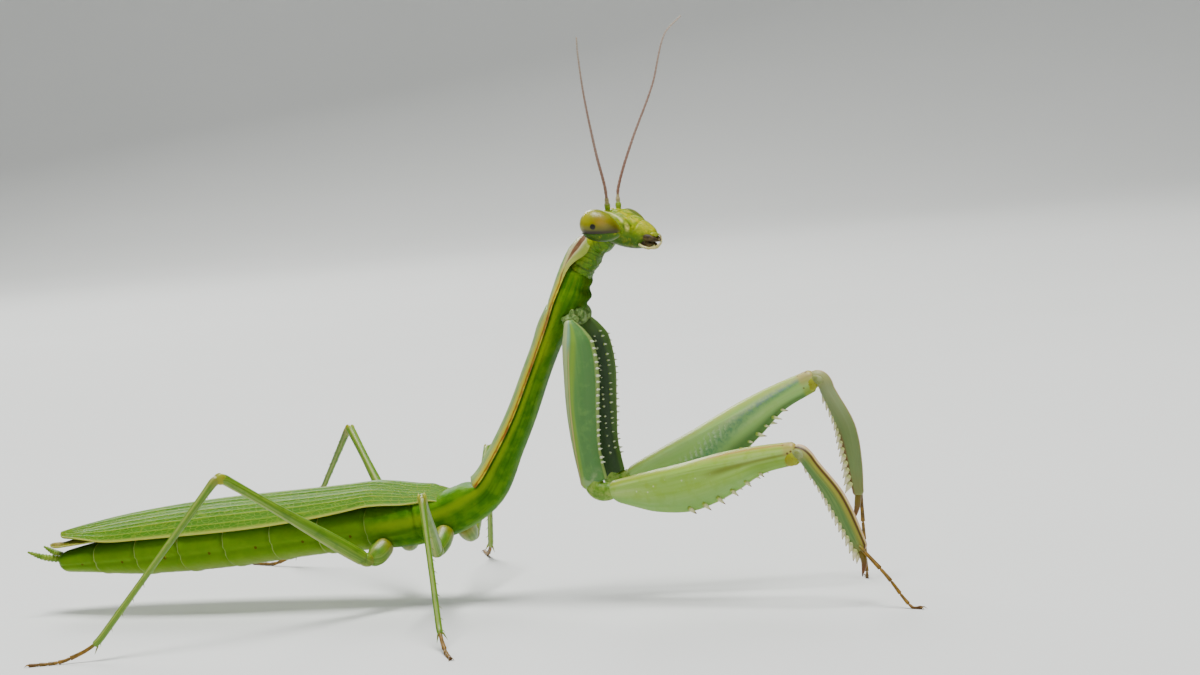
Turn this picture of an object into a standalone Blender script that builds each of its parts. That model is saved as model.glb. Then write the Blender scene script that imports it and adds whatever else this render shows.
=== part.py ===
"""A life-size praying mantis, standing with the front of its body raised and its forelegs folded.

Sizes and places are in millimetres: +X is forward, +Y is the animal's left, +Z is up, and the
floor is at height zero. They become metres where each mesh is made. Every limb is a row of rings
set along a smooth path, parted at the joints by a hair's breadth.
"""
from collections import namedtuple
from math import cos, pi, radians, sin, sqrt

import bmesh
import bpy
from mathutils import Euler, Matrix, Vector

MM = 0.001
GAP = 0.13                  # clearance between neighbouring pieces
WING = 0.50                 # thickness of a wing or of the pronotum's middle
MARGIN = 0.3                # thickness of the pronotum at its margins

# Body: centre line seen from the side, from the front of the pronotum to the tail
BODY_LINE = ((10.78, 26.1), (9.58, 24.12), (8.63, 22.0), (6.11, 17.02), (4.44, 13.7), (2.64, 10.8),
             (1.1, 8.8), (-1.2, 7.4), (-4.0, 6.7), (-8.0, 6.25), (-14.0, 5.85), (-22.0, 5.3),
             (-30.0, 4.6), (-34.6, 4.1))
# distance from the front: half width, height above and depth below the centre line
BODY_SIZE = ((0, (1.15, 1.0, 1.25)), (1.5, (1.35, 1.0, 1.3)), (3.2, (1.75, 1.0, 1.8)),
             (4.6, (2.1, 1.0, 1.7)), (6.8, (1.7, 1.0, 1.05)), (10, (1.45, 1.0, 0.98)),
             (16, (1.5, 1.0, 1.3)), (18, (1.6, 1.0, 1.6)), (20, (1.7, 1.0, 1.9)), (22.6, (2.1, 1.3, 2.05)),
             (25.5, (2.55, 1.6, 2.15)), (29, (2.6, 1.55, 2.0)), (33, (2.75, 1.5, 1.9)),
             (42, (3.15, 1.55, 2.15)), (49, (2.75, 1.35, 1.85)), (53.5, (1.9, 1.0, 1.2)),
             (57, (0.9, 0.6, 0.7)))
PRONOTUM_END = 20.3
PROTHORAX_START = 2.3
MESOTHORAX_END = 25.2
METATHORAX_END = 29.2
ABDOMEN_SEGMENTS = 7
BED_LIFT = 0.2              # clearance of the lowest wing over the back
WING_FALL = 0.95            # how far the wings fall towards their outer edges
RIDGE_DROP = 0.85           # the pronotum's margins lie this far below its ridge

# Head: its own axes are x out of the face, y to the animal's left, z from mouth to crown
HEAD_CENTRE = Vector((13.24, 0.0, 27.31))
HEAD_TURN, HEAD_NOD, HEAD_LEAN = radians(1.1), radians(-68), radians(-10.5)
EYE_OUT = 2.35
EYE_RADII = (1.1, 0.98, 1.45)
EYE_LEAN = radians(12)
# height towards the crown: half width, half thickness, shift out of the face
CAPSULE = ((-3.2, (0.6, 0.6, 0.06)), (-2.7, (0.8, 0.85, 0.0)), (-2.0, (1.15, 1.08, -0.06)),
           (-1.1, (1.85, 1.2, -0.1)), (-0.2, (2.35, 1.2, -0.08)), (0.6, (2.2, 1.02, -0.03)),
           (1.1, (1.7, 0.75, 0.0)))
MOUTH = ((-3.8, (0.2, 0.22, 0.02)), (-3.55, (0.34, 0.36, 0.04)), (-3.3, (0.42, 0.46, 0.06)))
PALP = ((-0.85, 0.9, -2.5), (-0.85, 1.0, -3.0), (-0.5, 0.95, -3.35), (-0.05, 0.78, -3.5),
        (0.3, 0.68, -3.45))
# The neck: distance along the body, drop below its line, half width, height above and depth below
NECK = ((2.15, -0.5, 1.15, 0.7, 0.95), (1.0, -0.55, 1.05, 0.72, 1.0), (-0.3, -0.62, 0.95, 0.8, 0.95))
NECK_TOP = (-1.28, 0.0, 0.55)

LEFT, RIGHT = 1, -1
SIDES = {"left": LEFT, "right": RIGHT}

# Forelegs: where each joint lies
FORELEG = {
    "right": ((9.75, -1.95, 20.6), (10.6, -2.05, 8.1), (27.25, -4.8, 10.85), (31.15, -5.35, 3.8)),
    "left": ((9.5, 1.8, 20.7), (10.65, 1.8, 8.15), (26.5, 4.2, 15.15), (28.45, 4.4, 6.25)),
}
FORE_TOE = {"right": (34.9, -7.3, 0.0), "left": (28.35, 5.35, 0.0)}
# Walking legs: the coxa's root and end, then knee, ankle, and the sole's front and back
WALKING = {
    "mid_right": ((-1.5, -1.9, 5.6), (-1.6, -3.5, 4.3), (1.5, -12.6, 9.9), (4.5, -18.6, 1.1),
                  (6.7, -22.3, 0)),
    "mid_left": ((-1.5, 1.9, 5.6), (-1.6, 3.5, 4.3), (-3.5, 13.0, 10.0), (-6.5, 19.0, 1.1), (-8.7, 22.9, 0)),
    "hind_right": ((-6.2, -2.3, 4.8), (-6.9, -3.7, 3.8), (-13.5, -14.0, 12.1), (-21.5, -19.8, 1.1),
                   (-26.0, -21.6, 0)),
    "hind_left": ((-6.2, 2.3, 4.8), (-6.9, 3.7, 3.8), (-15.0, 12.6, 12.1), (-23.5, 18.4, 1.1),
                  (-28.4, 20.4, 0)),
}
SOLE = 0.17                 # height of a foot's middle where it lies on the floor

ANTENNA = {
    "left": ((13.22, 0.72, 28.45), (13.25, 1.1, 29.9), (14.3, 1.75, 33.0), (16.05, 2.5, 37.1),
             (17.0, 3.3, 40.6), (18.1, 4.2, 41.9)),
    "right": ((12.98, -0.9, 28.55), (13.1, -1.3, 30.1), (12.9, -2.0, 32.6), (12.7, -2.9, 36.6),
              (12.75, -3.6, 39.6), (12.9, -4.0, 41.0)),
}

# The trochanter reaches from this far before the elbow to this far past it
TROCHANTER = (1.0, 1.1)
FORE_BEND, WALK_BEND = 1.1, 0.8     # the path of a leg is rounded within this distance of a joint
COXA_BOW = {"right": ((-0.25, -0.2, 0.0),), "left": ((-0.25, 0.2, 0.0),)}
FEMUR_BOW = ((0.0, 0.0, 0.1),)
TIBIA_BOW = ((0.55, 0.0, 0.33),)
# Sizes along each stretch of a foreleg: half width, height above and depth below its path
FORE_SIZE = {
    "coxa": ((0, (0.75, 0.95, 0.65)), (1.5, (0.85, 1.25, 0.75)), (4, (0.82, 1.4, 0.9)),
             (7, (0.76, 1.25, 1.02)), (9.5, (0.7, 1.0, 1.0)), (11.4, (0.6, 0.85, 0.85))),
    "trochanter": ((0, (0.58, 0.72, 0.75)), (1, (0.6, 0.62, 0.75)), (2.1, (0.5, 0.55, 0.7))),
    "femur": ((0, (0.5, 0.58, 0.85)), (1.2, (0.6, 0.64, 1.4)), (3.2, (0.75, 0.7, 2.25)),
              (5.8, (0.8, 0.74, 2.75)), (7.8, (0.75, 0.85, 2.55)), (10, (0.68, 0.95, 1.9)),
              (12.3, (0.58, 0.94, 1.05)), (15, (0.5, 0.8, 0.8))),
    "tibia": ((0, (0.5, 0.62, 0.6)), (1.5, (0.47, 0.66, 0.56)), (4, (0.45, 0.7, 0.68)),
              (7.0, (0.38, 0.55, 0.5)), (8.4, (0.3, 0.42, 0.4))),
}
# Spines under a foreleg: where the first stands, the step and the count, the lengths of the first
# and the last, how far they lean towards the limb's end, and their radius
Spines = namedtuple("Spines", "first step count length last_length lean radius")
SPINES = {
    "femur": {"outer": Spines(6.0, 1.22, 6, 0.85, 0.45, 0.6, 0.18),
              "inner": Spines(2.8, 0.85, 12, 0.7, 0.45, 0.2, 0.15)},
    "tibia": {"outer": Spines(1.7, 0.72, 9, 0.2, 0.75, 0.5, 0.14),
              "inner": Spines(2.0, 0.72, 9, 0.2, 0.75, 0.5, 0.14)},
}
SPINE_OUT = 0.5             # how far out to its side of the lower edge a spine stands
SPINE_ROOT = 0.3            # depth of a spine's root inside its limb
TOOTH = Spines(1.8, 1.1, 9, 0.38, 0.38, 0.0, 0.13)      # teeth down the front of the coxa
TOOTH_ROOT = 0.2


def round_sizes(*rows):
    """Sizes of a round limb from (distance, radius) rows."""
    return [(place, (radius, radius, radius)) for place, radius in rows]


WALK_SIZE = {
    "mid": {"coxa": round_sizes((0, 0.75), (1, 0.72), (2, 0.55)),
            "femur": round_sizes((0, 0.52), (2, 0.52), (8, 0.34), (11, 0.36)),
            "tibia": round_sizes((0, 0.34), (5, 0.27), (10.5, 0.28))},
    "hind": {"coxa": round_sizes((0, 0.75), (1, 0.75), (2, 0.6)),
             "femur": round_sizes((0, 0.56), (3, 0.58), (10, 0.36), (14.5, 0.38)),
             "tibia": round_sizes((0, 0.36), (7, 0.27), (14.5, 0.29))},
}

COLOURS = {
    "pronotum": ((0.16, 0.36, 0.12, 1), 0.45), "thorax": ((0.26, 0.46, 0.08, 1), 0.45),
    "abdomen": ((0.30, 0.50, 0.13, 1), 0.5), "head": ((0.33, 0.56, 0.05, 1), 0.4),
    "eye": ((0.46, 0.50, 0.06, 1), 0.15), "mouth": ((0.42, 0.50, 0.12, 1), 0.4),
    "antenna": ((0.42, 0.25, 0.16, 1), 0.5), "foreleg": ((0.33, 0.55, 0.26, 1), 0.4),
    "walking_leg": ((0.34, 0.52, 0.18, 1), 0.45), "foot": ((0.46, 0.36, 0.18, 1), 0.5),
    "wing": ((0.20, 0.42, 0.10, 1), 0.4),
}


# ---------------------------------------------------------------- curves and rings

def smooth(knots, place):
    """Cubic through (place, value) knots; each knot's slope is that of the line joining its neighbours."""
    last = len(knots) - 1
    i = 0
    while i < last - 1 and place > knots[i + 1][0]:
        i += 1
    (p0, v0), (p1, v1) = knots[i], knots[i + 1]

    def slope(k):
        before, after = knots[max(k - 1, 0)], knots[min(k + 1, last)]
        return (after[1] - before[1]) / (after[0] - before[0])

    span = p1 - p0
    f = min(max((place - p0) / span, 0.0), 1.0)
    start, end = slope(i) * span, slope(i + 1) * span
    return (v0 * (2 * f**3 - 3 * f**2 + 1) + start * (f**3 - 2 * f**2 + f)
            + v1 * (3 * f**2 - 2 * f**3) + end * (f**3 - f**2))


def knots_of(table):
    """Turns a table's rows of numbers into vectors, which smooth() can blend."""
    return [(place, Vector(values)) for place, values in table]


class Path:
    """A smooth line through points, measured by distance along it."""

    def __init__(self, points):
        points = [Vector(p) for p in points]
        places = [0.0]
        for a, b in zip(points, points[1:]):
            places.append(places[-1] + (b - a).length)
        self.knots = list(zip(places, points))
        self.length = places[-1]

    def at(self, distance):
        if distance <= 0 or distance >= self.length:
            end = 0.0 if distance <= 0 else self.length
            return smooth(self.knots, end) + self.along(end) * (distance - end)
        return smooth(self.knots, distance)

    def along(self, distance):
        step = 0.01
        near = min(max(distance, step), self.length - step)
        return (smooth(self.knots, near + step) - smooth(self.knots, near - step)).normalized()


def jointed(points, bend, bows=()):
    """A path through joints: corners are rounded within bend of each, and bows push middles sideways.

    It returns the path and the distances along it of the joints' middles.
    """
    points = [Vector(p) for p in points]
    route = []
    corners = []
    for k, point in enumerate(points):
        if 0 < k < len(points) - 1:
            before = point + (points[k - 1] - point).normalized() * bend
            after = point + (points[k + 1] - point).normalized() * bend
            corners.append(len(route) + 2)
            for f in (0.0, 0.25, 0.5, 0.75, 1.0):
                route.append(before * (1 - f) ** 2 + point * (2 * f * (1 - f)) + after * f * f)
        else:
            route.append(point)
        if k < len(bows):
            route.append((point + points[k + 1]) / 2 + Vector(bows[k]))
    path = Path(route)
    return path, [path.knots[k][0] for k in corners]


def oval(count, power=1.0):
    """Points round a unit oval from +side over the top; a power under 1 makes it squarer."""
    points = []
    for k in range(count):
        a = 2 * pi * k / count
        c, s = cos(a), sin(a)
        points.append((abs(c) ** power * (1 if c > 0 else -1), abs(s) ** power * (1 if s > 0 else -1)))
    return points


def places_along(start, end, count, ends):
    """Distances of the rings: even ones, and closer ones where an end is rounded off."""
    low, high = start + ends[0][0], end - ends[1][0]
    places = [start, start + ends[0][0] * 0.35]
    for k in range(count + 1):
        places.append(low + (high - low) * k / count)
    return places + [end - ends[1][0] * 0.35, end]


def rounding(distance, start, end, ends):
    """Shrinks the rings near both ends as on a ball; each end has its length and its least size."""
    near = min((distance - start) / ends[0][0], 1.0)
    far = min((end - distance) / ends[1][0], 1.0)
    part, least = (near, ends[0][1]) if near < far else (far, ends[1][1])
    return least + (1 - least) * sqrt(max(1 - (1 - part) ** 2, 0.0))


CUT = (0.45, 0.82)          # an end at a joint: rounded over this length, down to this share
TIP = (0.35, 0.4)           # a free end


def material(kind):
    found = bpy.data.materials.get(kind)
    if found:
        return found
    colour, roughness = COLOURS[kind]
    made = bpy.data.materials.new(kind)
    made.use_nodes = True
    shader = made.node_tree.nodes["Principled BSDF"]
    shader.inputs["Base Color"].default_value = colour
    shader.inputs["Roughness"].default_value = roughness
    shader.inputs["Metallic"].default_value = 0.0
    return made


def add_object(name, bm, kind):
    """Closes a bmesh into a named object with its normals out, in metres."""
    bmesh.ops.recalc_face_normals(bm, faces=bm.faces)
    for vert in bm.verts:
        vert.co *= MM
    mesh = bpy.data.meshes.new(name)
    bm.to_mesh(mesh)
    bm.free()
    mesh.shade_smooth()
    mesh.materials.append(material(kind))
    obj = bpy.data.objects.new(name, mesh)
    bpy.context.scene.collection.objects.link(obj)
    return obj


def skin(bm, rings):
    """Joins closed rings of equal count into one closed tube with flat ends."""
    rows = [[bm.verts.new(point) for point in ring] for ring in rings]
    for low, high in zip(rows, rows[1:]):
        for k in range(len(low)):
            n = (k + 1) % len(low)
            bm.faces.new((low[k], low[n], high[n], high[k]))
    bm.faces.new(list(reversed(rows[0])))
    bm.faces.new(rows[-1])


def rings_object(name, rings, kind):
    bm = bmesh.new()
    skin(bm, rings)
    return add_object(name, bm, kind)


def limb_rings(path, sizes, side_way, section, count=8, span=None, ends=(CUT, CUT)):
    """Rings square to a path: sizes give half width, height above and depth below it."""
    start, end = span or (0.0, path.length)
    knots = knots_of(sizes)
    rings = []
    for distance in places_along(start, end, count, ends):
        side, top = across(path, distance, side_way)
        half, above, below = smooth(knots, distance - start) * rounding(distance, start, end, ends)
        centre = path.at(distance)
        rings.append([centre + side * (u * half) + top * (v * (above if v > 0 else below))
                      for u, v in section])
    return rings


def across(path, distance, side_way):
    """The sideways and upward directions of a limb, square to its path."""
    along = path.along(distance)
    hint = Vector(side_way)
    side = (hint - along * hint.dot(along)).normalized()
    return side, along.cross(side)


def floor_flat(rings):
    """Presses everything below the floor up to it, which leaves a small flat."""
    return [[Vector((p.x, p.y, max(p.z, 0.0))) for p in ring] for ring in rings]


def spine(bm, root, tip, radius, sides=4):
    """A spine: a narrow cone from a root inside its limb to a blunt point."""
    root, tip = Vector(root), Vector(tip)
    reach = tip - root
    turn = reach.to_track_quat("Z", "Y").to_matrix().to_4x4()
    place = Matrix.Translation((root + tip) / 2) @ turn
    bmesh.ops.create_cone(bm, cap_ends=True, cap_tris=False, segments=sides, radius1=radius,
                          radius2=radius * 0.18, depth=reach.length, matrix=place)


def join_spines(obj, spines):
    """Joins spines, each (root, tip, radius), to a limb with an exact union."""
    bm = bmesh.new()
    for root, tip, radius in spines:
        spine(bm, root, tip, radius)
    combine(obj, add_object(obj.name + "_spines", bm, "foreleg"), "UNION")


def combine(obj, tool, operation):
    tool.hide_render = True
    tool.display_type = "WIRE"
    modifier = obj.modifiers.new(operation.title(), "BOOLEAN")
    modifier.operation = operation
    modifier.solver = "EXACT"
    modifier.object = tool


# ---------------------------------------------------------------- trunk

BODY = Path([(x, 0.0, z) for x, z in BODY_LINE])
BODY_KNOTS = knots_of(BODY_SIZE)


def body_ring(distance, outline):
    """Sets (across, height) points square to the body's centre line."""
    up = Vector((0, 1, 0)).cross(BODY.along(distance)).normalized()
    centre = BODY.at(distance)
    return [centre + Vector((0, y, 0)) + up * h for y, h in outline]


def shield_top(u):
    """Height of the pronotum, as a roof that falls from its ridge to its margins at u = 1 and -1."""
    return 1.0 - RIDGE_DROP * abs(u) ** 1.5


def shield_depth(u):
    """Thickness of the pronotum, from its middle to its margins."""
    return WING * (1 - u * u) + MARGIN * u * u


def shield_outline(half, count=3):
    """A curved plate: over the roof from margin to margin, and back underneath."""
    steps = [k / count for k in range(-count, count + 1)]
    top = [(u * half, shield_top(u)) for u in steps]
    under = [(u * half * 0.97, shield_top(u) - shield_depth(u)) for u in steps]
    return top + list(reversed(under))


def pronotum():
    rings = []
    start, ends = -0.15, ((0.7, 0.72), (0.7, 0.72))
    for distance in places_along(start, PRONOTUM_END, 9, ends):
        half = smooth(BODY_KNOTS, distance)[0] * rounding(distance, start, PRONOTUM_END, ends)
        rings.append(body_ring(distance, shield_outline(half)))
    rings_object("pronotum", rings, "pronotum")


def under_shield_outline(half, below, width=0.82, count=2):
    """The prothorax under its shield: a roofed top and a rounded belly."""
    outline = []
    for k in range(2 * count + 1):
        u = width * (k / count - 1)
        outline.append((u * half, shield_top(u) - shield_depth(u) - 1.6 * GAP))
    edge = outline[-1][1]
    for k in range(1, 7):
        a = pi * k / 7
        outline.append((width * half * cos(a), edge * (1 - sin(a)) - below * sin(a)))
    return outline


def prothorax():
    rings = []
    start, end, ends = PROTHORAX_START, PRONOTUM_END - 0.1, ((0.3, 0.85), (0.3, 0.85))
    for distance in places_along(start, end, 10, ends):
        half, _, below = smooth(BODY_KNOTS, distance)
        shrink = rounding(distance, start, end, ends)
        rings.append(body_ring(distance, under_shield_outline(half * 0.95, below * shrink)))
    rings_object("prothorax", rings, "thorax")


def trunk_segment(name, start, end, kind, rings=1):
    outline = oval(10, 0.85)
    bow = min(0.45, (end - start) / 5)
    ends = ((bow, 0.85), (bow, 0.9))
    placed = []
    for distance in places_along(start, end - GAP, rings, ends):
        half, above, below = smooth(BODY_KNOTS, distance) * rounding(distance, start, end - GAP, ends)
        ring = [(u * half, v * (above if v > 0 else below)) for u, v in outline]
        placed.append(body_ring(distance, ring))
    rings_object(name, placed, kind)


def trunk():
    pronotum()
    prothorax()
    trunk_segment("mesothorax", PRONOTUM_END + 0.05, MESOTHORAX_END, "thorax", 3)
    trunk_segment("metathorax", MESOTHORAX_END, METATHORAX_END, "thorax", 2)
    step = (BODY.length - METATHORAX_END) / ABDOMEN_SEGMENTS
    for k in range(ABDOMEN_SEGMENTS):
        start = METATHORAX_END + step * k
        trunk_segment("abdomen_%d" % (k + 1), start, start + step, "abdomen", 1)


def cerci():
    """Two short jointed feelers at the tail."""
    for word, side in SIDES.items():
        path = Path([(-34.75, side * 0.5, 4.35), (-35.7, side * 0.95, 4.6), (-36.9, side * 1.3, 5.1)])
        rings = limb_rings(path, ((0, (0.32, 0.32, 0.32)), (path.length, (0.25, 0.25, 0.25))),
                           (0, 1, 0), oval(6), 3, ends=((0.2, 0.7), (0.25, 0.4)))
        rings_object("cercus_" + word, rings, "abdomen")


# ---------------------------------------------------------------- wings

def back_height(x):
    """Height of the back's middle, at a place that is found by halving a range."""
    low, high = PRONOTUM_END, BODY.length
    for _ in range(24):
        middle = (low + high) / 2
        if BODY.at(middle).x > x:
            low = middle
        else:
            high = middle
    return BODY.at(low).z + smooth(BODY_KNOTS, low)[1]


def ramp(value, start, end):
    """0 before start, 1 after end, straight between them."""
    return min(max((value - start) / (end - start), 0.0), 1.0)


def tip_fade(f, start=0.8):
    """1 along the wing, then a rounded fall to a small value at its tip."""
    if f < start:
        return 1.0
    return sqrt(max(1 - ((f - start) / (1 - start)) ** 2, 0.0)) * 0.85 + 0.15


def wing(name, root_x, tip_x, outer, inner, lift, overlap=0.0):
    """A folded wing, which lies over the back like half of a low roof.

    outer and inner give the widths of its edges from the middle line as shares of its length run
    from 0 to 1; a positive inner edge crosses the middle line. lift is its height over the back. A
    wing with an overlap steps up over its twin's edge.
    """
    side = LEFT if name.endswith("left") else RIGHT
    ends = ((0.6, 1.0), (1.6, 1.0))
    outer, inner = ([(f, w) for f, w in edge] for edge in (outer, inner))
    rings = []
    for distance in places_along(0.0, root_x - tip_x, 6, ends):
        f = distance / (root_x - tip_x)
        x = root_x - distance
        fade = tip_fade(f)
        edge, cross = smooth(outer, f) * fade, smooth(inner, f) * fade
        step_in = min(max(cross + GAP, 0.3 - cross), 0.6 * edge - 0.4 * cross)
        step_out = step_in + 0.6 * min(edge - step_in, 1.4)
        spots = (edge, (edge + step_out) / 2, step_out, step_in, -cross)
        top, under = [], []
        for out in spots:
            over = overlap * ramp(out, step_out, step_in)
            z = back_height(x) + lift(x) + over - WING_FALL * abs(out / 3.2) ** 2.2
            top.append(Vector((x, side * out, z + WING)))
            under.append(Vector((x, side * out, z)))
        rings.append(top + list(reversed(under)))
    rings_object(name, rings, "wing")


def wings():
    bed = BED_LIFT
    high = bed + WING + 2 * GAP
    for word, side in SIDES.items():
        wing("hindwing_" + word, -5.8, -35.4, ((0, 1.4), (0.2, 2.2), (0.6, 2.45), (1, 1.9)),
             ((0, -GAP / 2), (1, -GAP / 2)), lambda x: bed)
        wing("tegmen_" + word, -0.9, -34.4, ((0, 1.7), (0.12, 2.5), (0.5, 3.25), (0.85, 2.8), (1, 2.0)),
             ((0, -0.6), (0.1, 0.2), (0.3, 1.0), (0.8, 1.1), (1, 0.6)),
             lambda x: bed + (high - bed) * ramp(-x, 2.0, 4.4), WING + GAP if side == RIGHT else 0.0)


# ---------------------------------------------------------------- head

HEAD_PLACE = (Matrix.Translation(HEAD_CENTRE)
              @ Euler((HEAD_LEAN, HEAD_NOD, HEAD_TURN), "XYZ").to_matrix().to_4x4())


def ellipsoid(name, centre, radii, turn, kind, segments=12, rows=8):
    bm = bmesh.new()
    shape = Matrix.Translation(Vector(centre)) @ turn @ Matrix.Diagonal(Vector(radii)).to_4x4()
    bmesh.ops.create_uvsphere(bm, u_segments=segments, v_segments=rows, radius=1.0,
                              matrix=HEAD_PLACE @ shape)
    return add_object(name, bm, kind)


def head_rings(table, section, count, ends):
    """Rings across the head, from the mouth up to the crown."""
    rings = []
    low, high = table[0][0], table[-1][0]
    knots = knots_of(table)
    for z in places_along(low, high, count, ends):
        half, thick, shift = smooth(knots, z)
        shrink = rounding(z, low, high, ends)
        rings.append([HEAD_PLACE @ Vector((shift + v * thick * shrink, u * half * shrink, z))
                      for u, v in section])
    return rings


def head_capsule():
    return rings_object("head", head_rings(CAPSULE, oval(14, 0.9), 5, ((0.3, 0.8), (0.35, 0.6))), "head")


def eyes(head):
    """Each eye stands in a socket cut a little larger than itself."""
    for word, side in SIDES.items():
        turn = Matrix.Rotation(-side * EYE_LEAN, 4, "X")
        centre = (-0.08, side * EYE_OUT, 0.1)
        ellipsoid("eye_" + word, centre, EYE_RADII, turn, "eye")
        larger = [radius + GAP for radius in EYE_RADII]
        combine(head, ellipsoid("socket_" + word, centre, larger, turn, "head"), "DIFFERENCE")


def mouthparts():
    """The upper lip and jaws, as one wedge below the face."""
    rings_object("mouthparts", head_rings(MOUTH, oval(10), 1, ((0.1, 0.7), (0.08, 0.9))), "mouth")


def palps():
    """Two jointed feelers that curl from under the cheeks round the jaws."""
    for word, side in SIDES.items():
        path = Path([HEAD_PLACE @ Vector((x, side * y, z)) for x, y, z in PALP])
        size = (0.25, 0.25, 0.25)
        rings = limb_rings(path, ((0, size), (path.length, size)), (0, 0, 1), oval(6), 4,
                           ends=((0.15, 0.7), (0.2, 0.5)))
        rings_object("palp_" + word, rings, "mouth")


def antennae():
    for word in SIDES:
        path = Path(ANTENNA[word])
        sizes = ((0, (0.3, 0.3, 0.3)), (1.0, (0.27, 0.27, 0.27)), (path.length, (0.25, 0.25, 0.25)))
        rings = limb_rings(path, sizes, (0, 1, 0), oval(6), 9, ends=((0.2, 0.8), (0.25, 0.4)))
        rings_object("antenna_" + word, rings, "antenna")


def neck():
    """The soft neck: from under the front of the pronotum up to the back of the head."""
    face = (HEAD_PLACE.to_3x3() @ Vector((1, 0, 0))).normalized()
    rings = []
    for distance, drop, half, above, below in NECK:
        along = BODY.along(distance) * -1
        centre = BODY.at(distance) + along.cross(Vector((0, 1, 0))).normalized() * drop
        rings.append((centre, along, half, above, below))
    rings.append((HEAD_PLACE @ Vector(NECK_TOP), face, 0.9, 0.95, 0.9))
    placed = []
    for centre, along, half, above, below in rings:
        up = along.cross(Vector((0, 1, 0))).normalized()
        placed.append([centre + Vector((0, u * half, 0)) + up * (v * (above if v > 0 else below))
                       for u, v in oval(12)])
    rings_object("neck", placed, "thorax")


# ---------------------------------------------------------------- forelegs

def spines_along(path, sizes, start, row, out):
    """A row of spines on a limb's lower edge: each is its root, its tip and its radius."""
    spines = []
    knots = knots_of(sizes)
    for k in range(row.count):
        distance = row.first + row.step * k
        side, top = across(path, start + distance, (0, 1, 0))
        half, _, below = smooth(knots, distance)
        surface = below * sqrt(1 - SPINE_OUT**2)
        root = path.at(start + distance) + side * (out * half * SPINE_OUT) - top * (surface - SPINE_ROOT)
        reach = (-top + path.along(start + distance) * row.lean + side * out * 0.25).normalized()
        size = row.length + (row.last_length - row.length) * k / (row.count - 1)
        spines.append((root, root + reach * (size + SPINE_ROOT), row.radius))
    return spines


def foreleg(word, side):
    """Coxa, trochanter, femur and tibia share one path; each takes its stretch between the joints."""
    path, (elbow, knee) = jointed(FORELEG[word], FORE_BEND, COXA_BOW[word] + FEMUR_BOW + TIBIA_BOW)
    before, past = TROCHANTER
    spans = {"coxa": (0.0, elbow - before), "trochanter": (elbow - before + GAP, elbow + past),
             "femur": (elbow + past + GAP, knee - GAP), "tibia": (knee + GAP, path.length)}
    sections = {"coxa": [(u * (1 - 0.3 * v), v) for u, v in oval(10, 0.85)],
                "trochanter": oval(8), "femur": oval(10, 0.95), "tibia": oval(8)}
    counts = {"coxa": 7, "trochanter": 2, "femur": 8, "tibia": 6}
    ends = {"coxa": ((0.6, 0.6), CUT), "trochanter": (CUT, CUT), "femur": (CUT, CUT), "tibia": (CUT, TIP)}
    for part, span in spans.items():
        rings = limb_rings(path, FORE_SIZE[part], (0, 1, 0), sections[part], counts[part], span, ends[part])
        piece = rings_object("fore_%s_%s" % (part, word), rings, "foreleg")
        spines = [spine for place, row in SPINES.get(part, {}).items()
                  for spine in spines_along(path, FORE_SIZE[part], span[0], row,
                                            side if place == "outer" else -side)]
        if part == "coxa":
            spines = coxa_teeth(path)
        if spines:
            join_spines(piece, spines)
    claw(word, path)
    fore_tarsus(word, side, path)


def coxa_teeth(path):
    """Small teeth down the front edge of the coxa."""
    teeth = []
    for k in range(TOOTH.count):
        distance = TOOTH.first + TOOTH.step * k
        _, top = across(path, distance, (0, 1, 0))
        front = smooth(knots_of(FORE_SIZE["coxa"]), distance)[1]
        root = path.at(distance) + top * (front - TOOTH_ROOT)
        teeth.append((root, root + top * TOOTH.length, TOOTH.radius))
    return teeth


def claw(word, path):
    """The long hook at the end of the tibia, which folds against the femur."""
    end, along = path.at(path.length), path.along(path.length)
    root = end + along * 0.2 + Vector((-0.1, 0, 0))
    hook = Path([root, root + along * 0.8 + Vector((-0.22, 0, 0)),
                 root + along * 1.35 + Vector((-0.65, 0, -0.4))])
    sizes = ((0, (0.26, 0.3, 0.3)), (hook.length / 2, (0.25, 0.25, 0.25)),
             (hook.length, (0.12, 0.12, 0.12)))
    rings = limb_rings(hook, sizes, (0, 1, 0), oval(6), 3, ends=((0.15, 0.9), (0.15, 0.5)))
    rings_object("fore_claw_" + word, rings, "foot")


def fore_tarsus(word, side, path):
    """The foot of a foreleg springs from the outside of the tibia's end and reaches down to the floor."""
    root = path.at(path.length - 0.45) + Vector((0.1, side * 0.66, 0.05))
    toe = Vector(FORE_TOE[word])
    toe.z = SOLE
    out = Vector((toe.x - root.x, toe.y - root.y, 0)).normalized()
    foot("fore_tarsus_" + word, Path([root, (root + toe) / 2 + out * 0.15, toe, toe + out * 0.9]))


def foot(name, path, start=0.0):
    """A thin jointed foot whose sole is pressed flat where it meets the floor."""
    size = (0.26, 0.26, 0.26)
    sizes = ((0, size), (path.length, size))
    rings = limb_rings(path, sizes, (0.3, 1, 0.1), oval(6), 5, (start, path.length),
                       ((0.2, 0.8), (0.25, 0.6)))
    rings_object(name, floor_flat(rings), "foot")


# ---------------------------------------------------------------- walking legs

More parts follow.
